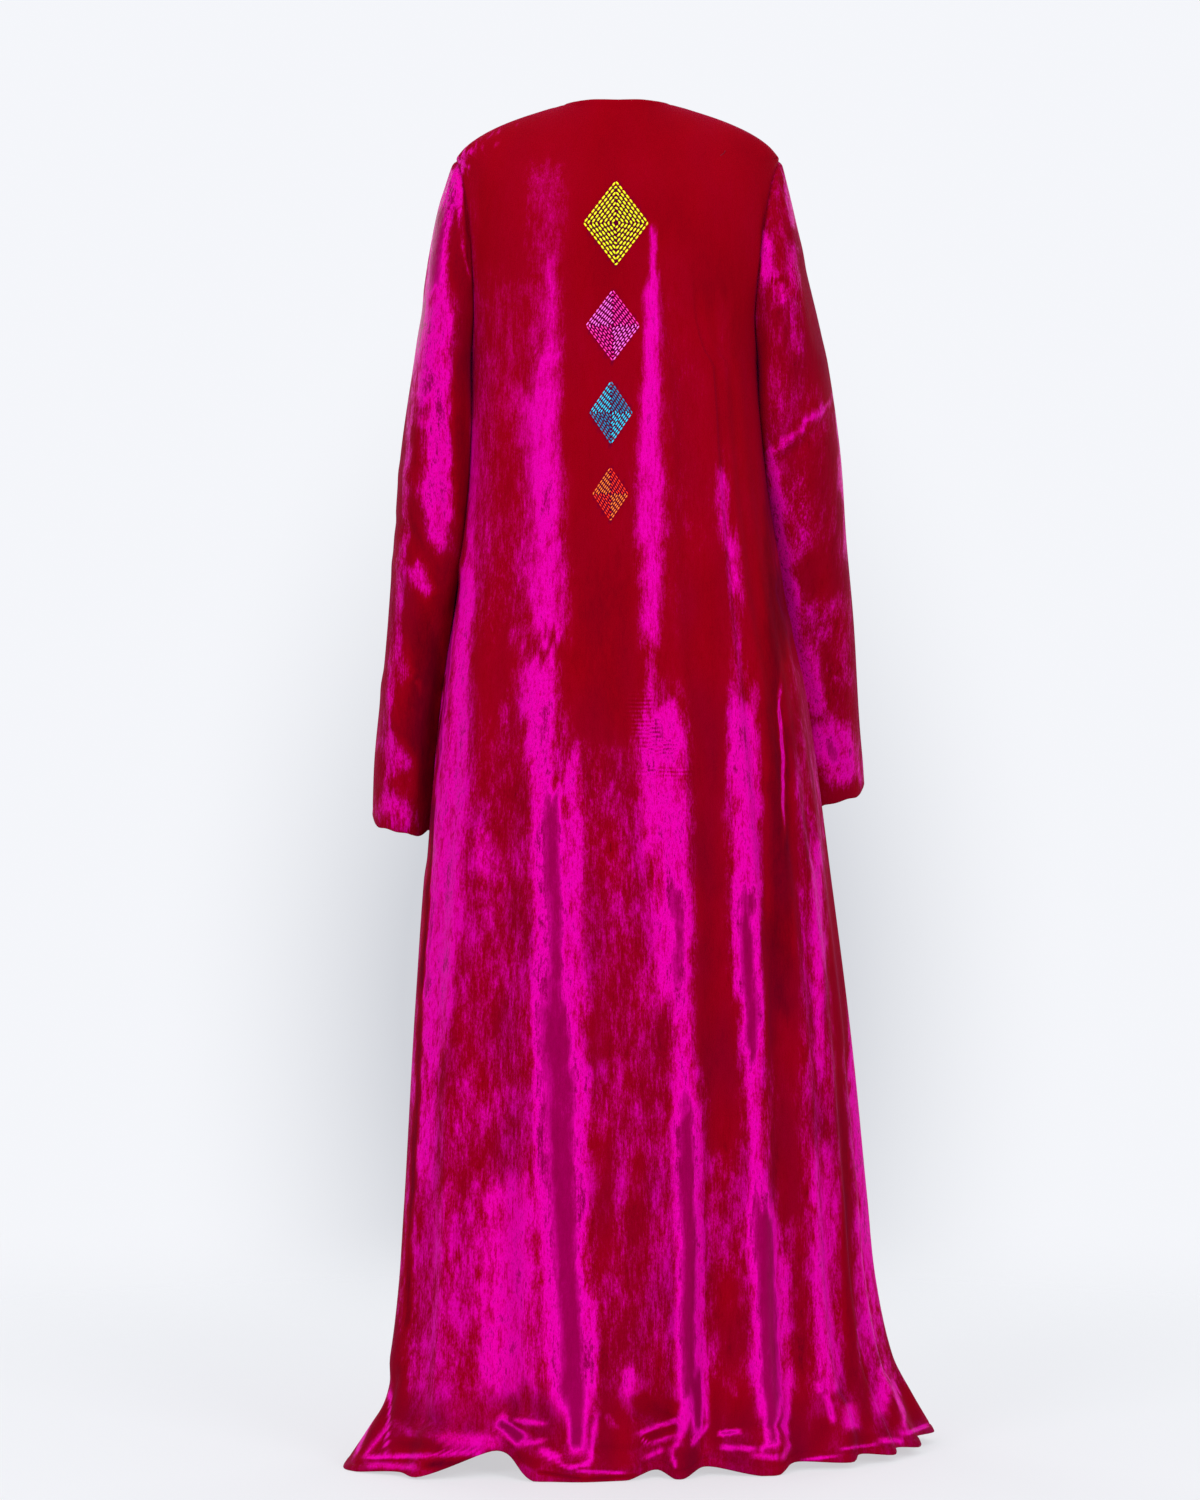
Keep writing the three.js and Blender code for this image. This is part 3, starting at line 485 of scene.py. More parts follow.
def ring_point(angle, z, out):
    """A point of the even ring at height z, moved out."""
    across = np.sin(np.radians(angle))
    deep = np.cos(np.radians(angle))
    depth = np.where(deep > 0, back_y(z), front_y(z))
    total = np.abs(across / half_width(z)) ** RING_POWER + np.abs(deep / depth) ** RING_POWER
    reach = total ** (-1 / RING_POWER) + out
    x = middle_x(z) + reach * across
    y = reach * (deep + twist(z) * across)
    return np.stack([x, y, z + 0 * x], axis=-1)


def row_z(v):
    """The height of row v at the side edge, from the shoulder tip to the hem."""
    armhole = UNDERARM_Z * (1 - np.cos(np.pi * v / ARMHOLE_STEPS)) / 2
    left = np.clip(1 - (v - ARMHOLE_STEPS) / SKIRT_STEPS, 0, 1)
    return np.where(v <= ARMHOLE_STEPS, armhole, lerp(FLOOR_Z, UNDERARM_Z, left ** SKIRT_CLOSING))


def row_at(z):
    """The row at a height between the underarm and the hem."""
    left = (z - FLOOR_Z) / (UNDERARM_Z - FLOOR_Z)
    return LAST_ROW - SKIRT_STEPS * left ** (1 / SKIRT_CLOSING)


def drape(c, v):
    """The robe's outer face at the fold column c and the row v."""
    top_ring = ring_point(body_angle(c, SHOULDER["z"][0] + 0 * c), SHOULDER["z"][0] + 0.0 * c, 0)
    x = top_ring[..., 0] - middle_x(SHOULDER["z"][0])
    from_tip = 1 - np.abs(x) / SHOULDER["x"][-1]
    in_neck = np.maximum(1 - (x / NECK_HALF_WIDTH) ** 2, 0)
    top_y = lerp(SHOULDER_SEAM_Y * from_tip, NAPE_Y, np.sqrt(in_neck))
    outside = lerp(TIP_POWER, SHOULDER_POWER, smooth(from_tip / TIP_SHARE))
    power = lerp(outside, NAPE_POWER, smooth(2 * in_neck))
    top_z = shoulder_z(np.abs(x))
    z = lerp(top_z, FLOOR_Z + lift(c), row_z(v) / FLOOR_Z)
    point = ring_point(body_angle(c, z), z, fold_out(c, z))
    below = np.clip((top_z - z) / SHOULDER_ROUND, 0, 1)
    turned = (1 - (1 - below) ** 2) ** power
    point[..., 1] = lerp(top_y, point[..., 1], turned)
    return point


def drape_normal(c, v):
    aside, along = 0.02, 0.04
    across = drape(c + aside, v) - drape(c - aside, v)
    down = drape(c, np.minimum(v + along, LAST_ROW)) - drape(c, np.maximum(v - along, 0))
    return unit(np.cross(across, down))


def armhole_edge(side, turn):
    return drape(side * (90 - np.sign(turn) * EDGE), np.abs(turn))


def tube_point(name, side, along, turn):
    """A point of a sleeve's even tube. turn goes round it in the armhole's steps, from the outer side."""
    columns = ["halfDepth"] + [name + part for part in SLEEVE_PARTS]
    half_depth, outer_x, outer_z, inner_x, inner_z, y = (
        curve(SLEEVES, "along", column)(along) for column in columns
    )
    angle = np.pi * turn / ARMHOLE_STEPS
    outwards = (1 + np.cos(angle)) / 2
    inner_x = inner_x - SLEEVE_REST * smooth(along / SLEEVE_JOIN)
    dip = CUFF_DIP * np.abs(np.sin(angle)) * smooth((along - CUFF_DIP_FROM) / (1 - CUFF_DIP_FROM))
    x = side * lerp(inner_x, outer_x, outwards)
    z = lerp(inner_z, outer_z, outwards) - dip
    return np.stack([x, y + half_depth * np.sin(angle), z], axis=-1)


def clear_of_body(point, side):
    """Moves a sleeve's points out to clear the robe's side, which it hangs against."""
    z = point[..., 2]
    across = point[..., 0] - middle_x(z)
    y = point[..., 1] - twist(z) * across
    depth = np.where(y > 0, back_y(z), front_y(z))
    room = np.maximum(1 - np.abs(y / depth) ** RING_POWER, 0)
    reach = half_width(z) * room ** (1 / RING_POWER) + SLEEVE_CLEARANCE
    kept = smooth((CLEAR_FROM_Z - z) / (CLEAR_FROM_Z - CLEAR_WHOLE_Z))
    point[..., 0] = middle_x(z) + side * np.maximum(side * across, reach * kept)
    return point


def sleeve_point(name, side, along, turn):
    away = smooth(along / SLEEVE_JOIN)[..., None]
    tube = lerp(armhole_edge(side, turn), tube_point(name, side, along, turn), away)
    return np.where(along[..., None] > 0, clear_of_body(tube.copy(), side), tube)


def photo_place(points):
    """The pixel of the photograph at which each point shows, whichever side of the robe it is on."""
    scale = FOCAL_PIXELS / (CAMERA_Y - points[..., 1])
    return AXIS_PIXEL_X - points[..., 0] * scale, AXIS_PIXEL_Y - (points[..., 2] - CAMERA_Z) * scale


def strokes(points, rows, soft_ends, wander_x=0, wander_y=0):
    """For each stroke of a table: how far aside of it each point shows, in half widths, how fully the
    stroke's length takes the point in, and the row's other values."""
    x, y = photo_place(points)
    x = x + wander_x
    y = y + wander_y
    for x0, y0, x1, y1, wide, *values in zip(*rows.values()):
        length = np.hypot(x1 - x0, y1 - y0)
        along = ((x - x0) * (x1 - x0) + (y - y0) * (y1 - y0)) / length
        aside = ((x - x0) * (y1 - y0) - (y - y0) * (x1 - x0)) / length / wide
        end = min(soft_ends, length / 3)
        yield aside, smooth((along + end / 2) / end) * smooth((length + end / 2 - along) / end), *values


def rough(points, size, stretch, seed):
    """Soft noise from -1 to 1 at each point, with patches of a size in mm, stretched down the cloth."""
    flat = points.reshape(-1, 3) / (size, size, size * stretch) + seed
    return np.array([noise.noise(p) for p in flat]).reshape(points.shape[:-1])


def tone_sheen_and_shade_of(points, rows, base, fray):
    """The pile's tone at each point, with its painted sheen and painted shade, from the strokes of a table.
    fray is how ragged the strokes' ends are."""
    height = photo_place(points)[1]
    wander = 1 - smooth((height - HEM_SMOOTH[0]) / HEM_SMOOTH[1])
    wander_x = wander * (2.6 * rough(points, 30, 2.5, 3.1) + 1.6 * rough(points, 9, 3, 7.7))
    wander_y = wander * fray * (16.0 * rough(points, 16, 1.5, 12.3) + 22.0 * rough(points, 6, 5, 30.1))
    lean = base(height + wander_y) + 0.16 * rough(points, 60, 2, 5.5)
    for aside, ends, to, cover in strokes(points, rows, TONE_STROKE_ENDS, wander_x, wander_y):
        lean = lerp(lean, to, (1 - smooth((np.abs(aside) - 0.25) / 1.35)) * ends * cover)
    return lean


def pressed_and_shaded(points):
    """How far the embroidery presses the pile down at each point of the back, with painted shade between
    and round its threads.
    """
    total = np.zeros(points.shape[:-1])
    for diamond in DIAMONDS:
        across = np.abs(points[..., 0] - diamond["x"]) / diamond["half"][0]
        from_edge = 1 - across - np.abs(points[..., 2] - diamond["z"]) / diamond["half"][1]
        total = np.maximum(total, smooth(from_edge / 0.12 + 0.5))
    return total * (points[..., 1] > 0)


def shaded(points, lean, shade):
    """The painted shade on the pile where it stands, in soft patches."""
    patches = 1 + 0.8 * rough(points, 24, 3, 17.5)
    return shade * patches * (1 - smooth((lean - 0.45) / 0.4))


def eased(grid, base):
    """A panel's points or normals, smoothed across its columns below the two ends of the neck."""
    from_end = np.abs(np.abs(base[..., 0]) - NECK_HALF_WIDTH)
    near = (1 - smooth(from_end / NECK_CORNER)) * smooth(base[..., 1] / 15)
    near = near * smooth((base[..., 2] - EASE_DOWN_TO) / 60)
    for _ in range(EASE_TURNS):
        grid = lerp(grid, (np.roll(grid, 1, axis=1) + np.roll(grid, -1, axis=1)) / 2, near[..., None])
    return grid


def ruffles(lean):
    """The share of the ruffling that the pile's tone leaves: little where the pile stands or lies quite
    flat.
    """
    return lerp(0.25, 1, smooth(lean / 0.4)) * lerp(1, 0.2, smooth((lean - 1.05) / 0.25))


def pile(lean, ruffle, grit):
    """The velvet's attributes at each point."""
    share = ruffles(lean)
    none = np.zeros(lean.shape)
    return {"lean": lean, "ruffle": ruffle * share, "grit": grit * share, "crush": none, "pressed_and_shaded": none}


def creased(points, rows):
    """How far the creases of a table move each point outwards."""
    out = 0.5 * rough(points, 38, 3, 9.4) + 0.9 * rough(points, 90, 3, 15.2)
    for aside, ends, depth in strokes(points, rows, CREASE_ENDS, 2.0 * rough(points, 30, 2.5, 21.3)):
        out = out + depth * np.exp(-(aside ** 2)) * ends
    return out


def crush_of(points):
    """How finely crushed the pile is at each point."""
    total = np.zeros(points.shape[:-1])
    for aside, ends in strokes(points, CRUSHED, CRUSH_ENDS):
        total = np.maximum(total, np.exp(-(aside ** 2)) * ends)
    return total


def lengths(points, axis):
    """The cloth's length along a grid's rows or columns, from the first edge to each point."""
    steps = np.linalg.norm(np.diff(points, axis=axis), axis=-1)
    start = np.zeros_like(np.take(steps, [0], axis=axis))
    return np.concatenate([start, np.cumsum(steps, axis=axis)], axis=axis)


def turned_edge(distance, band):
    """The relief of a turned and stitched edge: a band a little thicker, behind a groove."""
    groove = -STITCH_GROOVE * np.exp(-(((distance - band) / 1.5) ** 2))
    return groove + 0.5 * (1 - smooth((distance - band + 2) / 2.5)) * smooth(distance / 2)


def seam_swell(distance):
    """The relief beside a seam, where the cloth turns down into it."""
    return SEAM_SWELL * (1 - np.exp(-((distance / 3.5) ** 2))) * np.exp(-((distance / 20) ** 2))


def new_piece(name, points, faces, attributes):
    """A smooth mesh object. attributes holds a value for each point under each name."""
    mesh = bpy.data.meshes.new(name)
    mesh.from_pydata(points, [], faces)
    mesh.polygons.foreach_set("use_smooth", np.ones(len(faces), bool))
    for label, values in attributes.items():
        mesh.attributes.new(label, "FLOAT", "POINT").data.foreach_set("value", np.array(values, np.float32))
    piece = bpy.data.objects.new(name, mesh)
    bpy.context.scene.collection.objects.link(piece)
    return piece


def shell(name, outer, normals, nap, looped):
    """A closed shell of cloth from its outer points, a grid of rows from the top down. Its first material
    is the pile and its second the cloth's reverse. nap holds the pile's attributes. A looped grid joins
    its last column to its first."""
    rows, columns = outer.shape[:2]
    middle = outer - normals * VELVET / 2
    inner = outer - normals * VELVET
    edge_out = ROLL * VELVET
    rims = [(0, slice(None), outer[0] - outer[1]), (rows - 1, slice(None), outer[-1] - outer[-2])]
    if not looped:
        rims.append((slice(None), 0, outer[:, 0] - outer[:, 1]))
        rims.append((slice(None), -1, outer[:, -1] - outer[:, -2]))
    for row, column, away in rims:
        middle[row, column] += unit(away) * edge_out
    points = np.concatenate([outer.reshape(-1, 3), inner.reshape(-1, 3), middle.reshape(-1, 3)]) * MM
    points[:, 2] = np.maximum(points[:, 2], FLOOR_Z * MM)
    count = rows * columns
    grid = np.arange(count).reshape(rows, columns)
    if looped:
        grid = np.concatenate([grid, grid[:, :1]], axis=1)

    def quads(a, b, c, d):
        return np.stack([a, b, c, d], axis=-1).reshape(-1, 4)

    faces = [quads(grid[:-1, :-1], grid[:-1, 1:], grid[1:, 1:], grid[1:, :-1])]
    pile_faces = len(faces[0])
    edges = [grid[0], grid[-1, ::-1]]
    if not looped:
        edges += [grid[::-1, 0], grid[:, -1]]
    for edge in edges:
        for near, far in ((0, 2 * count), (2 * count, count)):
            faces.append(quads(edge[:-1] + near, edge[:-1] + far, edge[1:] + far, edge[1:] + near))
            pile_faces += len(faces[-1])
    faces.append(quads(grid[:-1, :-1], grid[1:, :-1], grid[1:, 1:], grid[:-1, 1:]) + count)
    used, faces = np.unique(np.concatenate(faces), return_inverse=True)
    faces = faces.reshape(-1, 4)
    attributes = {label: np.tile(values.reshape(-1), 3)[used] for label, values in nap.items()}
    piece = new_piece(name, points[used].tolist(), faces.tolist(), attributes)
    slots = np.arange(len(faces)) >= pile_faces
    piece.data.polygons.foreach_set("material_index", slots.astype(np.int32))
    return piece


def panel_rows():
    armhole = np.linspace(0, ARMHOLE_STEPS, ARMHOLE_ROWS, endpoint=False)
    hem_start = FLOOR_Z + HEM_ROW * HEM_ROWS
    skirt = row_at(np.arange(UNDERARM_Z, FLOOR_Z + BUCKLED_FROM, -SKIRT_ROW))
    buckled = row_at(np.arange(FLOOR_Z + BUCKLED_FROM, hem_start + BUCKLED_ROW / 2, -BUCKLED_ROW))
    hem = row_at(FLOOR_Z + HEM_ROW * np.arange(HEM_ROWS, -1, -1))
    return np.concatenate([armhole, skirt, buckled, hem])


def panel_columns(start, end):
    margin = SEAM_COLUMNS[-1]
    inside = np.linspace(start + margin, end - margin, round((end - start) / COLUMN))
    near_start = start + np.array(SEAM_COLUMNS[:-1])
    near_end = end - np.array(SEAM_COLUMNS[-2::-1])
    return np.concatenate([near_start, inside, near_end])


def robe_base(y):
    """The pile is crimson on the upper back, and mottled from the hip down."""
    return 0.02 + 0.4 * smooth((y - 600) / 240) - 0.12 * smooth((y - 1400) / 40)


def panel(name, start, end, seam_start, seam_end):
    """A panel of the robe between two angles. The seams are at the side; the other edges are turned."""
    columns = panel_columns(start, end)
    c, v = np.meshgrid(columns, panel_rows())
    base = drape(c, v)
    normals = unit(eased(drape_normal(c, v), base))
    base = eased(base, base)
    down = lengths(base, 0)
    across = lengths(base, 1)
    back_across = across[:, -1:] - across
    out = creased(base, ROBE_CREASES) * smooth(down / 25) * smooth(across / 12) * smooth(back_across / 12)
    out += turned_edge(down[-1] - down, HEM_BAND)
    for distance, is_seam in ((across, seam_start), (back_across, seam_end)):
        out += seam_swell(distance) if is_seam else turned_edge(distance, EDGE_BAND)
    in_neck = smooth((NECK_HALF_WIDTH - np.abs(base[:1, :, 0])) / NECK_CORNER + 0.5)
    out += lerp(seam_swell(down), turned_edge(down, EDGE_BAND), in_neck)
    points = base + normals * out[..., None]
    lean = tone_sheen_and_shade_of(base, ROBE_NAP_SHEEN_SHADE, robe_base, 1)
    height = photo_place(base)[1]
    nap = pile(lean, ruffle_at(height), grit_at(height))
    nap["crush"] = crush_of(base) * (base[..., 1] > 0)
    nap["pressed_and_shaded"] = np.maximum(pressed_and_shaded(base), shaded(base, lean, shade_at(height)))
    return shell(name, points, normals, nap, False)


def sleeve(name, side):
    half = ARMHOLE_STEPS * SLEEVE_COLUMNS_PER_STEP
    turns = np.concatenate([np.arange(0, -half, -1), np.arange(half, 0, -1)]) / SLEEVE_COLUMNS_PER_STEP
    turns = -side * turns if side < 0 else turns
    rows = (np.arange(SLEEVE_ROWS + 1) / SLEEVE_ROWS) ** SLEEVE_ROWS_CLOSER
    turn, along = np.meshgrid(turns, rows)
    base = sleeve_point("left" if side > 0 else "right", side, along, turn)
    angle = np.pi * turn / ARMHOLE_STEPS
    wave = np.sin(5 * angle + 1) + 0.7 * np.sin(8 * angle)
    base[..., 2] += CUFF_WAVE * wave * smooth((along - CUFF_WAVE_FROM) / (1 - CUFF_WAVE_FROM))
    across = np.roll(base, -1, axis=1) - np.roll(base, 1, axis=1)
    down = np.gradient(base, axis=0)
    normals = unit(np.cross(across, down))
    normals = normals * np.sign(np.mean(normals[:, 0, 0]) * side)
    from_seam = lengths(base, 0)
    out = creased(base, SLEEVE_CREASES) * smooth(from_seam / 30)
    out += seam_swell(from_seam) + turned_edge(from_seam[-1] - from_seam, CUFF_BAND)
    for at, width, length, depth in zip(*PUCKERS.values()):
        fade = smooth(from_seam / 8) * (1 - smooth(from_seam / length))
        out += PUCKER * depth * np.exp(-(((turn - at) / width) ** 2)) * fade
    points = base + normals * out[..., None]
    lean = tone_sheen_and_shade_of(base, SLEEVE_NAP_SHEEN_SHADE, lambda y: SLEEVE_BASE + 0 * y, SLEEVE_FRAY)
    nap = pile(lean, SLEEVE_RUFFLE, SLEEVE_GRIT)
    nap["pressed_and_shaded"] = shaded(base, lean, SLEEVE_SHADE)
    return shell(name, points, normals, nap, True)


class Tree:
    """A node tree, with a short way to add a node: its settings by name, and its inputs by name or place,
    each as a value or as the output to link."""

    def __init__(self, holder):
        holder.use_nodes = True
        self.nodes = holder.node_tree.nodes
        self.links = holder.node_tree.links

    def feed(self, node, inputs):
        for label, value in inputs.items():
            if isinstance(value, bpy.types.NodeSocket):
                self.links.new(value, node.inputs[label])
            else:
                node.inputs[label].default_value = value

    def add(self, kind, output, inputs, **settings):
        node = self.nodes.new("ShaderNode" + kind)
        for label, value in settings.items():
            setattr(node, label, value)
        self.feed(node, inputs)
        return node.outputs[output]

    def math(self, operation, *values):
        return self.add("Math", 0, dict(enumerate(values)), operation=operation)

    def attribute(self, name):
        return self.add("Attribute", "Fac", {}, attribute_name=name)

    def where(self):
        return self.add("TexCoord", "Object", {})

    def mix(self, first, second, share):
        """A colour between two, which are colours or outputs."""
        return self.add("Mix", "Result", {"A": first, "B": second, "Factor": share}, data_type="RGBA")

    def noise(self, size, stretch, detail):
        """Noise from -1 to 1 with patches of a size in mm, stretched down the cloth."""
        vector = self.add("Mapping", 0, {"Vector": self.where(), "Scale": (1, 1, 1 / stretch)})
        inputs = {"Vector": vector, "Scale": 1 / (size * MM), "Detail": detail, "Roughness": 0.62}
        return self.math("MULTIPLY_ADD", self.add("TexNoise", "Fac", inputs), 2, -1)

    def bump(self, height, strength, distance):
        return self.add("Bump", 0, {"Height": height, "Strength": strength, "Distance": distance * MM})


def new_material(name, inputs_of):
    """A material whose shader takes the inputs that a function of its tree gives."""
    material = bpy.data.materials.new(name)
    tree = Tree(material)
    tree.feed(tree.nodes["Principled BSDF"], inputs_of(tree))
    return material


def velvet(tree):
    """Two-tone silk velvet: its crimson ground, the painted sheen of magenta where the pile leans and of
    plum where it leans most, and painted shade; pile pressed under the embroidery is darker too."""
    # the pile's tone, with its painted sheen and painted shade
    value = tree.attribute("lean")
    for label, noises in (("ruffle", RUFFLE_NOISE), ("grit", GRIT_NOISE)):
        share = tree.attribute(label)
        for size, stretch, detail, amount in zip(*noises.values()):
            layer = tree.math("MULTIPLY", tree.noise(size, stretch, detail), amount)
            value = tree.math("MULTIPLY_ADD", layer, share, value)
    height = tree.add("SeparateXYZ", "Z", {0: tree.where()})
    phase = tree.math("MULTIPLY_ADD", height, 2 * np.pi / (CRUSH_PITCH * MM), tree.noise(22, 1, 1))
    ripple = tree.math("MULTIPLY", tree.math("SINE", phase), tree.attribute("crush"))
    value = tree.math("MULTIPLY_ADD", ripple, 0.22, value)
    start, end = PILE_TONE_SHEEN_SHADE_COLOURS[0][0], PILE_TONE_SHEEN_SHADE_COLOURS[-1][0]
    share = tree.math("MULTIPLY_ADD", value, 1 / (end - start), -start / (end - start))
    colour = tree.add("ValToRGB", "Color", {"Fac": share})
    stops = colour.node.color_ramp.elements
    for i, (at, shade) in enumerate(PILE_TONE_SHEEN_SHADE_COLOURS):
        stop = stops[i] if i < 2 else stops.new(1)
        stop.position = (at - start) / (end - start)
        stop.color = (*shade, 1)
    gloss = {"Value": value, "From Min": 0.2, "From Max": 1.1, "To Min": 0.85, "To Max": 0.42}
    relief = tree.math("MULTIPLY_ADD", tree.noise(7, 2.5, 2), 1.6, tree.noise(0.9, 2.5, 2))
    return {
        # pressed pile and painted shade darken the colour
        "Base Color": tree.mix(colour, (*PRESSED_AND_SHADED_PILE, 1), tree.attribute("pressed_and_shaded")),
        "Roughness": tree.add("MapRange", "Result", gloss),
        "Normal": tree.bump(tree.math("MULTIPLY_ADD", ripple, 2.2, relief), 0.35, 0.5),
        "Specular IOR Level": 0.05,
        "Specular Tint": (1, 0.02, 0.6, 1),
        "Sheen Weight": 0.1,
        "Sheen Roughness": 0.35,
        "Sheen Tint": (0.85, 0.01, 0.6, 1),
    }


def reverse(tree):
    """The inside of the velvet: the flat crimson ground weave."""
    weave = tree.noise(0.8, 3, 2)
    both = tree.math("MULTIPLY_ADD", weave, 0.25, tree.noise(30, 2, 2))
    colour = tree.add("ValToRGB", "Color", {"Fac": tree.math("MULTIPLY_ADD", both, 0.5, 0.5)})
    stops = colour.node.color_ramp.elements
    stops[0].color = (0.16, 0.002, 0.012, 1)
    stops[1].color = (0.26, 0.003, 0.03, 1)
    bump = tree.bump(weave, 0.3, 0.3)
    return {"Base Color": colour, "Normal": bump, "Roughness": 0.8, "Specular IOR Level": 0.2}


def thread(diamond):
    """Thread in a diamond's colours, with painted light and shade: one attribute is 1 on the sides painted
    as lit and 0 on those painted as shaded, and middle is 0 where a stitch goes into the cloth, in its
    painted shade."""
    def inputs_of(tree):
        colour = tree.mix((*diamond["falling"], 1), (*diamond["rising"], 1), tree.attribute("rising"))
        colour = tree.mix((*diamond["end"], 1), colour, tree.attribute("middle"))
        twist_of = {"Vector": tree.where(), "Scale": 420}
        plies = tree.add("TexWave", "Fac", twist_of, bands_direction="DIAGONAL")
        return {
            "Base Color": colour,
            # a painted glow: the thread gives off its own colour, though it is no lamp
            "Emission Color": colour,
            "Emission Strength": 0.35,
            "Normal": tree.bump(plies, 0.25, 0.15),
            "Roughness": 0.5,
            "Specular IOR Level": 0.15,
        }

    return inputs_of


def diamond_path(half, t):
    """A point at the share t of the way round a diamond ring, from its top towards the wearer's right, and
    whether its side rises there."""
    corners = np.array([(0, 1), (-1, 0), (0, -1), (1, 0), (0, 1)]) * half
    leg = np.minimum((t % 1) * 4, 3.999999)
    i = leg.astype(int)
    return lerp(corners[i], corners[i + 1], (leg - i)[..., None]), i % 2 == 1


def embroider(diamond, cloth, material):
    """A diamond of running stitch: rings of raised thread that dip into the velvet between the stitches."""
    half = np.array(diamond["half"], float)
    side_length = np.hypot(*half)
    radius = THREAD_SHARE * half[0] * half[1] / side_length / diamond["rows"] * MM
    swell = np.sin(np.linspace(0.04, 0.96, STITCH_STEPS) * np.pi) ** 0.6
    round_thread = np.arange(THREAD_SIDES)[:, None] * 2 * np.pi / THREAD_SIDES
    points, faces, rising, middle = [], [], [], []
    for ring in range(diamond["rows"]):
        share = 1 - ring / diamond["rows"]
        stitches = max(4, round(4 * side_length * share / diamond["stitch"]))
        bend = CORNER_ROUND / (4 * side_length * share)
        for stitch in range(stitches):
            t = (stitch + ROW_SHIFT * ring + np.linspace(0, 1 - STITCH_GAP, STITCH_STEPS)) / stitches
            flat = (diamond_path(half * share, t - bend)[0] + diamond_path(half * share, t + bend)[0]) / 2
            rises = diamond_path(half, t[STITCH_STEPS // 2])[1]
            line = np.array([on_cloth(cloth, diamond["x"] + x, diamond["z"] + z) for x, z in flat])
            spine = line[:, 0] + line[:, 1] * (STITCH_RISE * swell[:, None] - 0.35) * MM
            forward = unit(np.gradient(spine, axis=0))
            aside = unit(np.cross(forward, line[:, 1]))
            faces += tube_faces(len(points))
            for i in range(STITCH_STEPS):
                around = np.cos(round_thread) * aside[i] + np.sin(round_thread) * line[i, 1]
                points += (spine[i] + radius * (0.45 + 0.55 * swell[i]) * around).tolist()
                # the sides that rise towards the wearer's right are painted lit, the others painted shaded
                rising += [float(rises)] * THREAD_SIDES
                middle += [swell[i]] * THREAD_SIDES
    piece = new_piece("diamond_" + diamond["name"], points, faces, {"rising": rising, "middle": middle})
    piece.data.materials.append(material)
    return piece


def tube_faces(first):
    """The faces of one stitch, a closed tube whose rings of points start at first."""
    rings = first + np.arange(STITCH_STEPS * THREAD_SIDES).reshape(STITCH_STEPS, THREAD_SIDES)
    beside = np.roll(rings, -1, axis=1)
    sides = np.stack([rings[:-1], beside[:-1], beside[1:], rings[1:]], axis=-1).reshape(-1, 4)
    return sides.tolist() + [rings[0, ::-1].tolist(), rings[-1].tolist()]


def on_cloth(cloth, x, z):
    """The point and normal of the back's outer face at an across and a height in mm."""
    hit, normal, _, _ = cloth.ray_cast(Vector((x * MM, 1, z * MM)), Vector((0, -1, 0)))
    return np.array([hit, normal])


def pale_floor(tree):
    """It fades out, so that it has no edge, and glows a little, as it is lit from all sides, so that the
    robe's shadow on it stays faint."""
    distance = tree.add("VectorMath", "Value", {0: tree.where()}, operation="LENGTH")
    fade = {"Value": distance, "From Min": 0.7, "From Max": 2.4, "To Min": 1, "To Max": 0}
    return {
        "Base Color": (0.30, 0.31, 0.32, 1),
        "Emission Color": (0.905, 0.913, 0.947, 1),
        "Emission Strength": 0.6,
        "Roughness": 0.7,
        "Specular IOR Level": 0.2,
        "Alpha": tree.add("MapRange", "Result", fade, interpolation_type="SMOOTHSTEP"),
    }


def make_floor():
    place = (0, 0, FLOOR_Z * MM - 0.0005)
    bpy.ops.mesh.primitive_circle_add(vertices=96, radius=2.5, fill_type="NGON", location=place)
    floor = bpy.context.object
    floor.name = "floor"
    floor.data.materials.append(new_material("floor", pale_floor))


def make_world():
    """Pale studio walls, with a painted soft shade close behind the robe. They show at their own brightness
    and light the robe at a lower one."""
    world = bpy.data.worlds.new("studio")
    bpy.context.scene.world = world
    tree = Tree(world)
    where = tree.add("TexCoord", "Generated", {})
    from_middle = tree.add("Mapping", 0, {
        "Vector": where,
        "Location": (0, 0, SHADE_DROP / SHADE_HEIGHT),
        "Scale": (1 / SHADE_WIDTH, 0, 1 / SHADE_HEIGHT),
    })
    distance = tree.add("VectorMath", "Value", {0: from_middle}, operation="LENGTH")
    shade = tree.add("MapRange", "Result", {"Value": distance, "From Min": 1, "From Max": 0.45})
    behind = tree.math("LESS_THAN", tree.add("SeparateXYZ", "Y", {0: where}), 0)
    deeper = tree.math("MULTIPLY", tree.math("MULTIPLY", shade, shade), behind)
    seen = tree.add("LightPath", "Is Camera Ray", {})
    tree.feed(tree.nodes["Background"], {
        "Color": tree.mix((0.91, 0.922, 0.96, 1), (0.635, 0.65, 0.695, 1), deeper),
        "Strength": tree.add("MapRange", "Result", {"Value": seen, "To Min": 0.55, "To Max": 1}),
    })


def make_light(name, place, target, size, energy):
    light = bpy.data.lights.new(name, "AREA")
    light.shape = "RECTANGLE"
    light.size, light.size_y = size
    light.energy = energy
    obj = bpy.data.objects.new(name, light)
    obj.location = place
    obj.rotation_euler = (Vector(target) - Vector(place)).to_track_quat("-Z", "Y").to_euler()
    bpy.context.scene.collection.objects.link(obj)


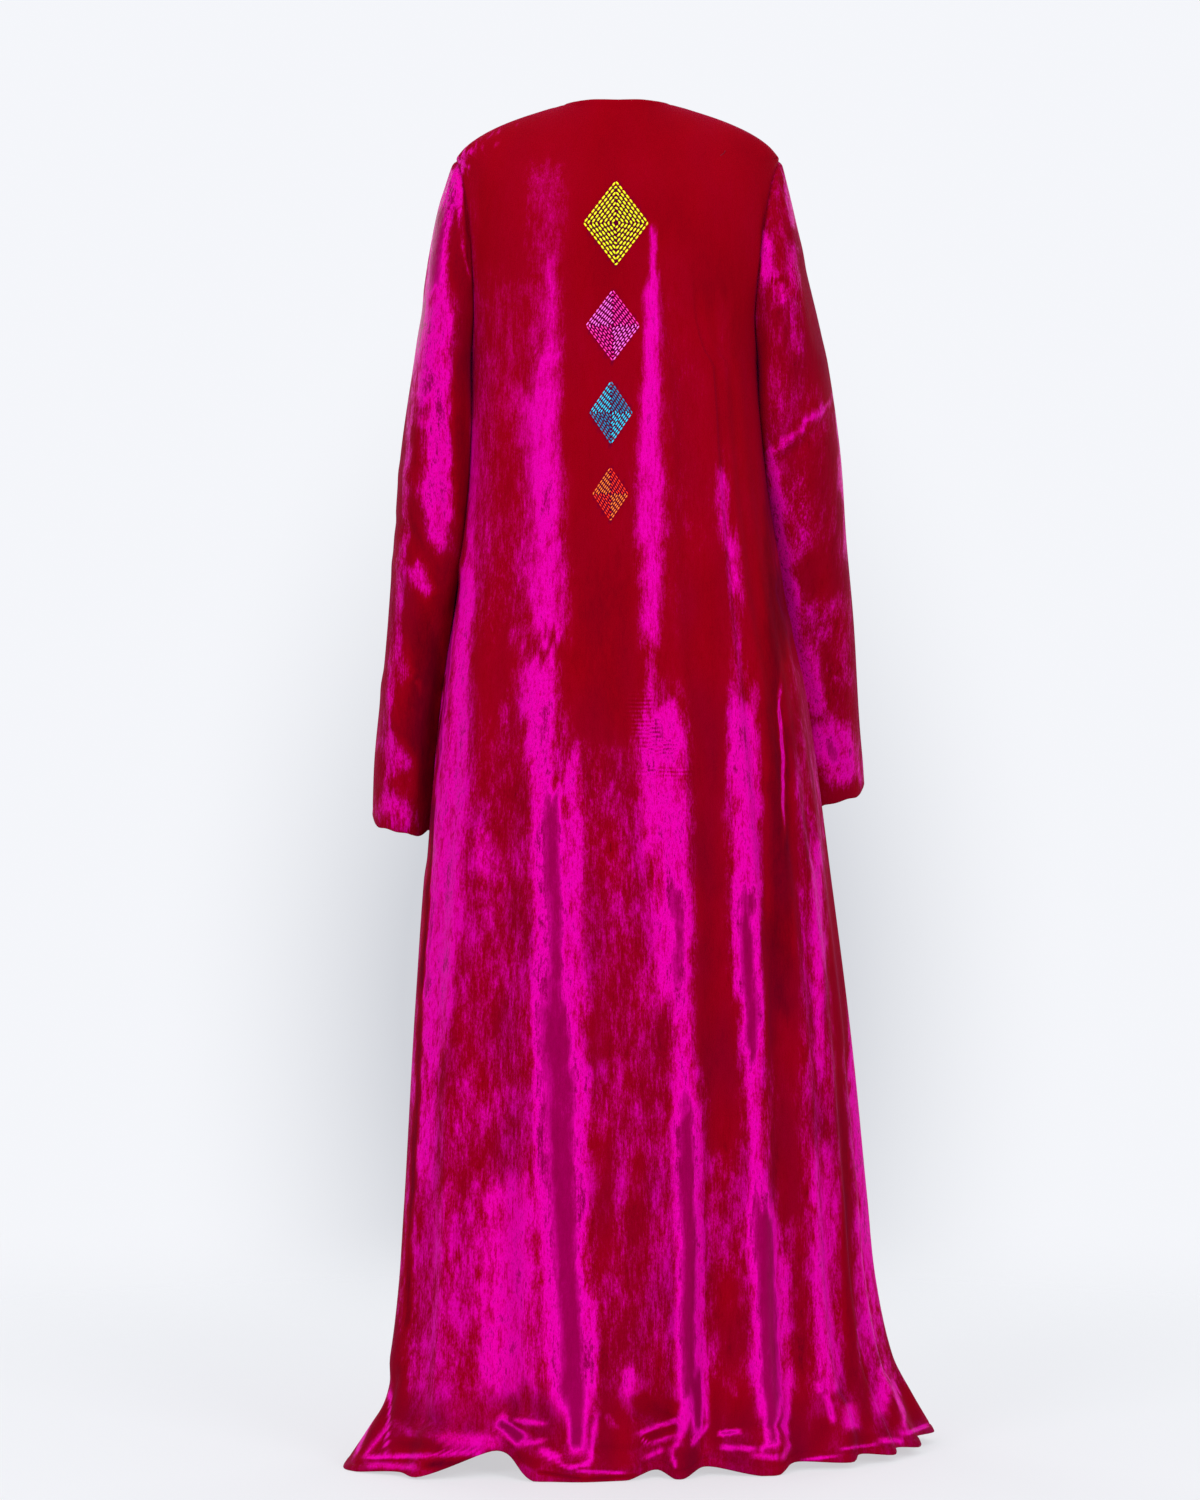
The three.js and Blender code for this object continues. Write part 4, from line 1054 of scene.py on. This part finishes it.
def make_camera():
    """Level, straight behind the robe, as the photograph was taken."""
    camera = bpy.data.cameras.new("camera")
    camera.sensor_fit = "VERTICAL"
    camera.sensor_height = SENSOR
    camera.lens = SENSOR * FOCAL_PIXELS / PHOTO_HEIGHT
    camera.shift_x = (PHOTO_WIDTH / 2 - AXIS_PIXEL_X) / PHOTO_HEIGHT
    camera.shift_y = (AXIS_PIXEL_Y - PHOTO_HEIGHT / 2) / PHOTO_HEIGHT
    obj = bpy.data.objects.new("camera", camera)
    obj.location = (0, CAMERA_Y * MM, CAMERA_Z * MM)
    obj.rotation_euler = (np.pi / 2, 0, np.pi)
    bpy.context.scene.collection.objects.link(obj)
    bpy.context.scene.camera = obj


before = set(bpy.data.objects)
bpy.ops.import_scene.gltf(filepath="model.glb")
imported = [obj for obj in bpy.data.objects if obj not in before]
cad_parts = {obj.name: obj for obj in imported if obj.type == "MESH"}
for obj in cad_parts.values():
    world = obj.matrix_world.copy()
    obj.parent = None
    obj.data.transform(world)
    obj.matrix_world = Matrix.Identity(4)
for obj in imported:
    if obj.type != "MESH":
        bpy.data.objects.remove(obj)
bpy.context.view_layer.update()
make_camera()
make_world()
make_floor()
for name, x, y, energy in (
    ("key_left", 2.4, 3.6, 72), ("key_right", -2.4, 3.6, 66),
    ("front_left", 2.2, -3.4, 32), ("front_right", -2.2, -3.4, 32),
):
    make_light(name, (x, y, 0.9), (0, 0, -0.7), (1.8, 2.4), energy)
make_light("top", (0, 0.3, 2.4), (0, 0, 0), (2.6, 2.0), 25)

faces_of_cloth = new_material("velvet", velvet), new_material("velvet_reverse", reverse)
pieces = {
    "back": panel("velvet_back", -90, 90, True, True),
    "front_left": panel("velvet_front_left", 90 + EDGE, 180, True, False),
    "front_right": panel("velvet_front_right", -180, -90 - EDGE, False, True),
    "sleeve_left": sleeve("velvet_sleeve_left", 1),
    "sleeve_right": sleeve("velvet_sleeve_right", -1),
}
for node, piece in pieces.items():
    for material in faces_of_cloth:
        piece.data.materials.append(material)
    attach(piece, "root")
    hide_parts(node)

cloth = BVHTree.FromObject(pieces["back"], bpy.context.evaluated_depsgraph_get())
for diamond in DIAMONDS:
    material = new_material("thread_diamond_" + diamond["name"], thread(diamond))
    piece = embroider(diamond, cloth, material)
    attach(piece, "root")

bpy.context.scene.view_settings.view_transform = "Standard"
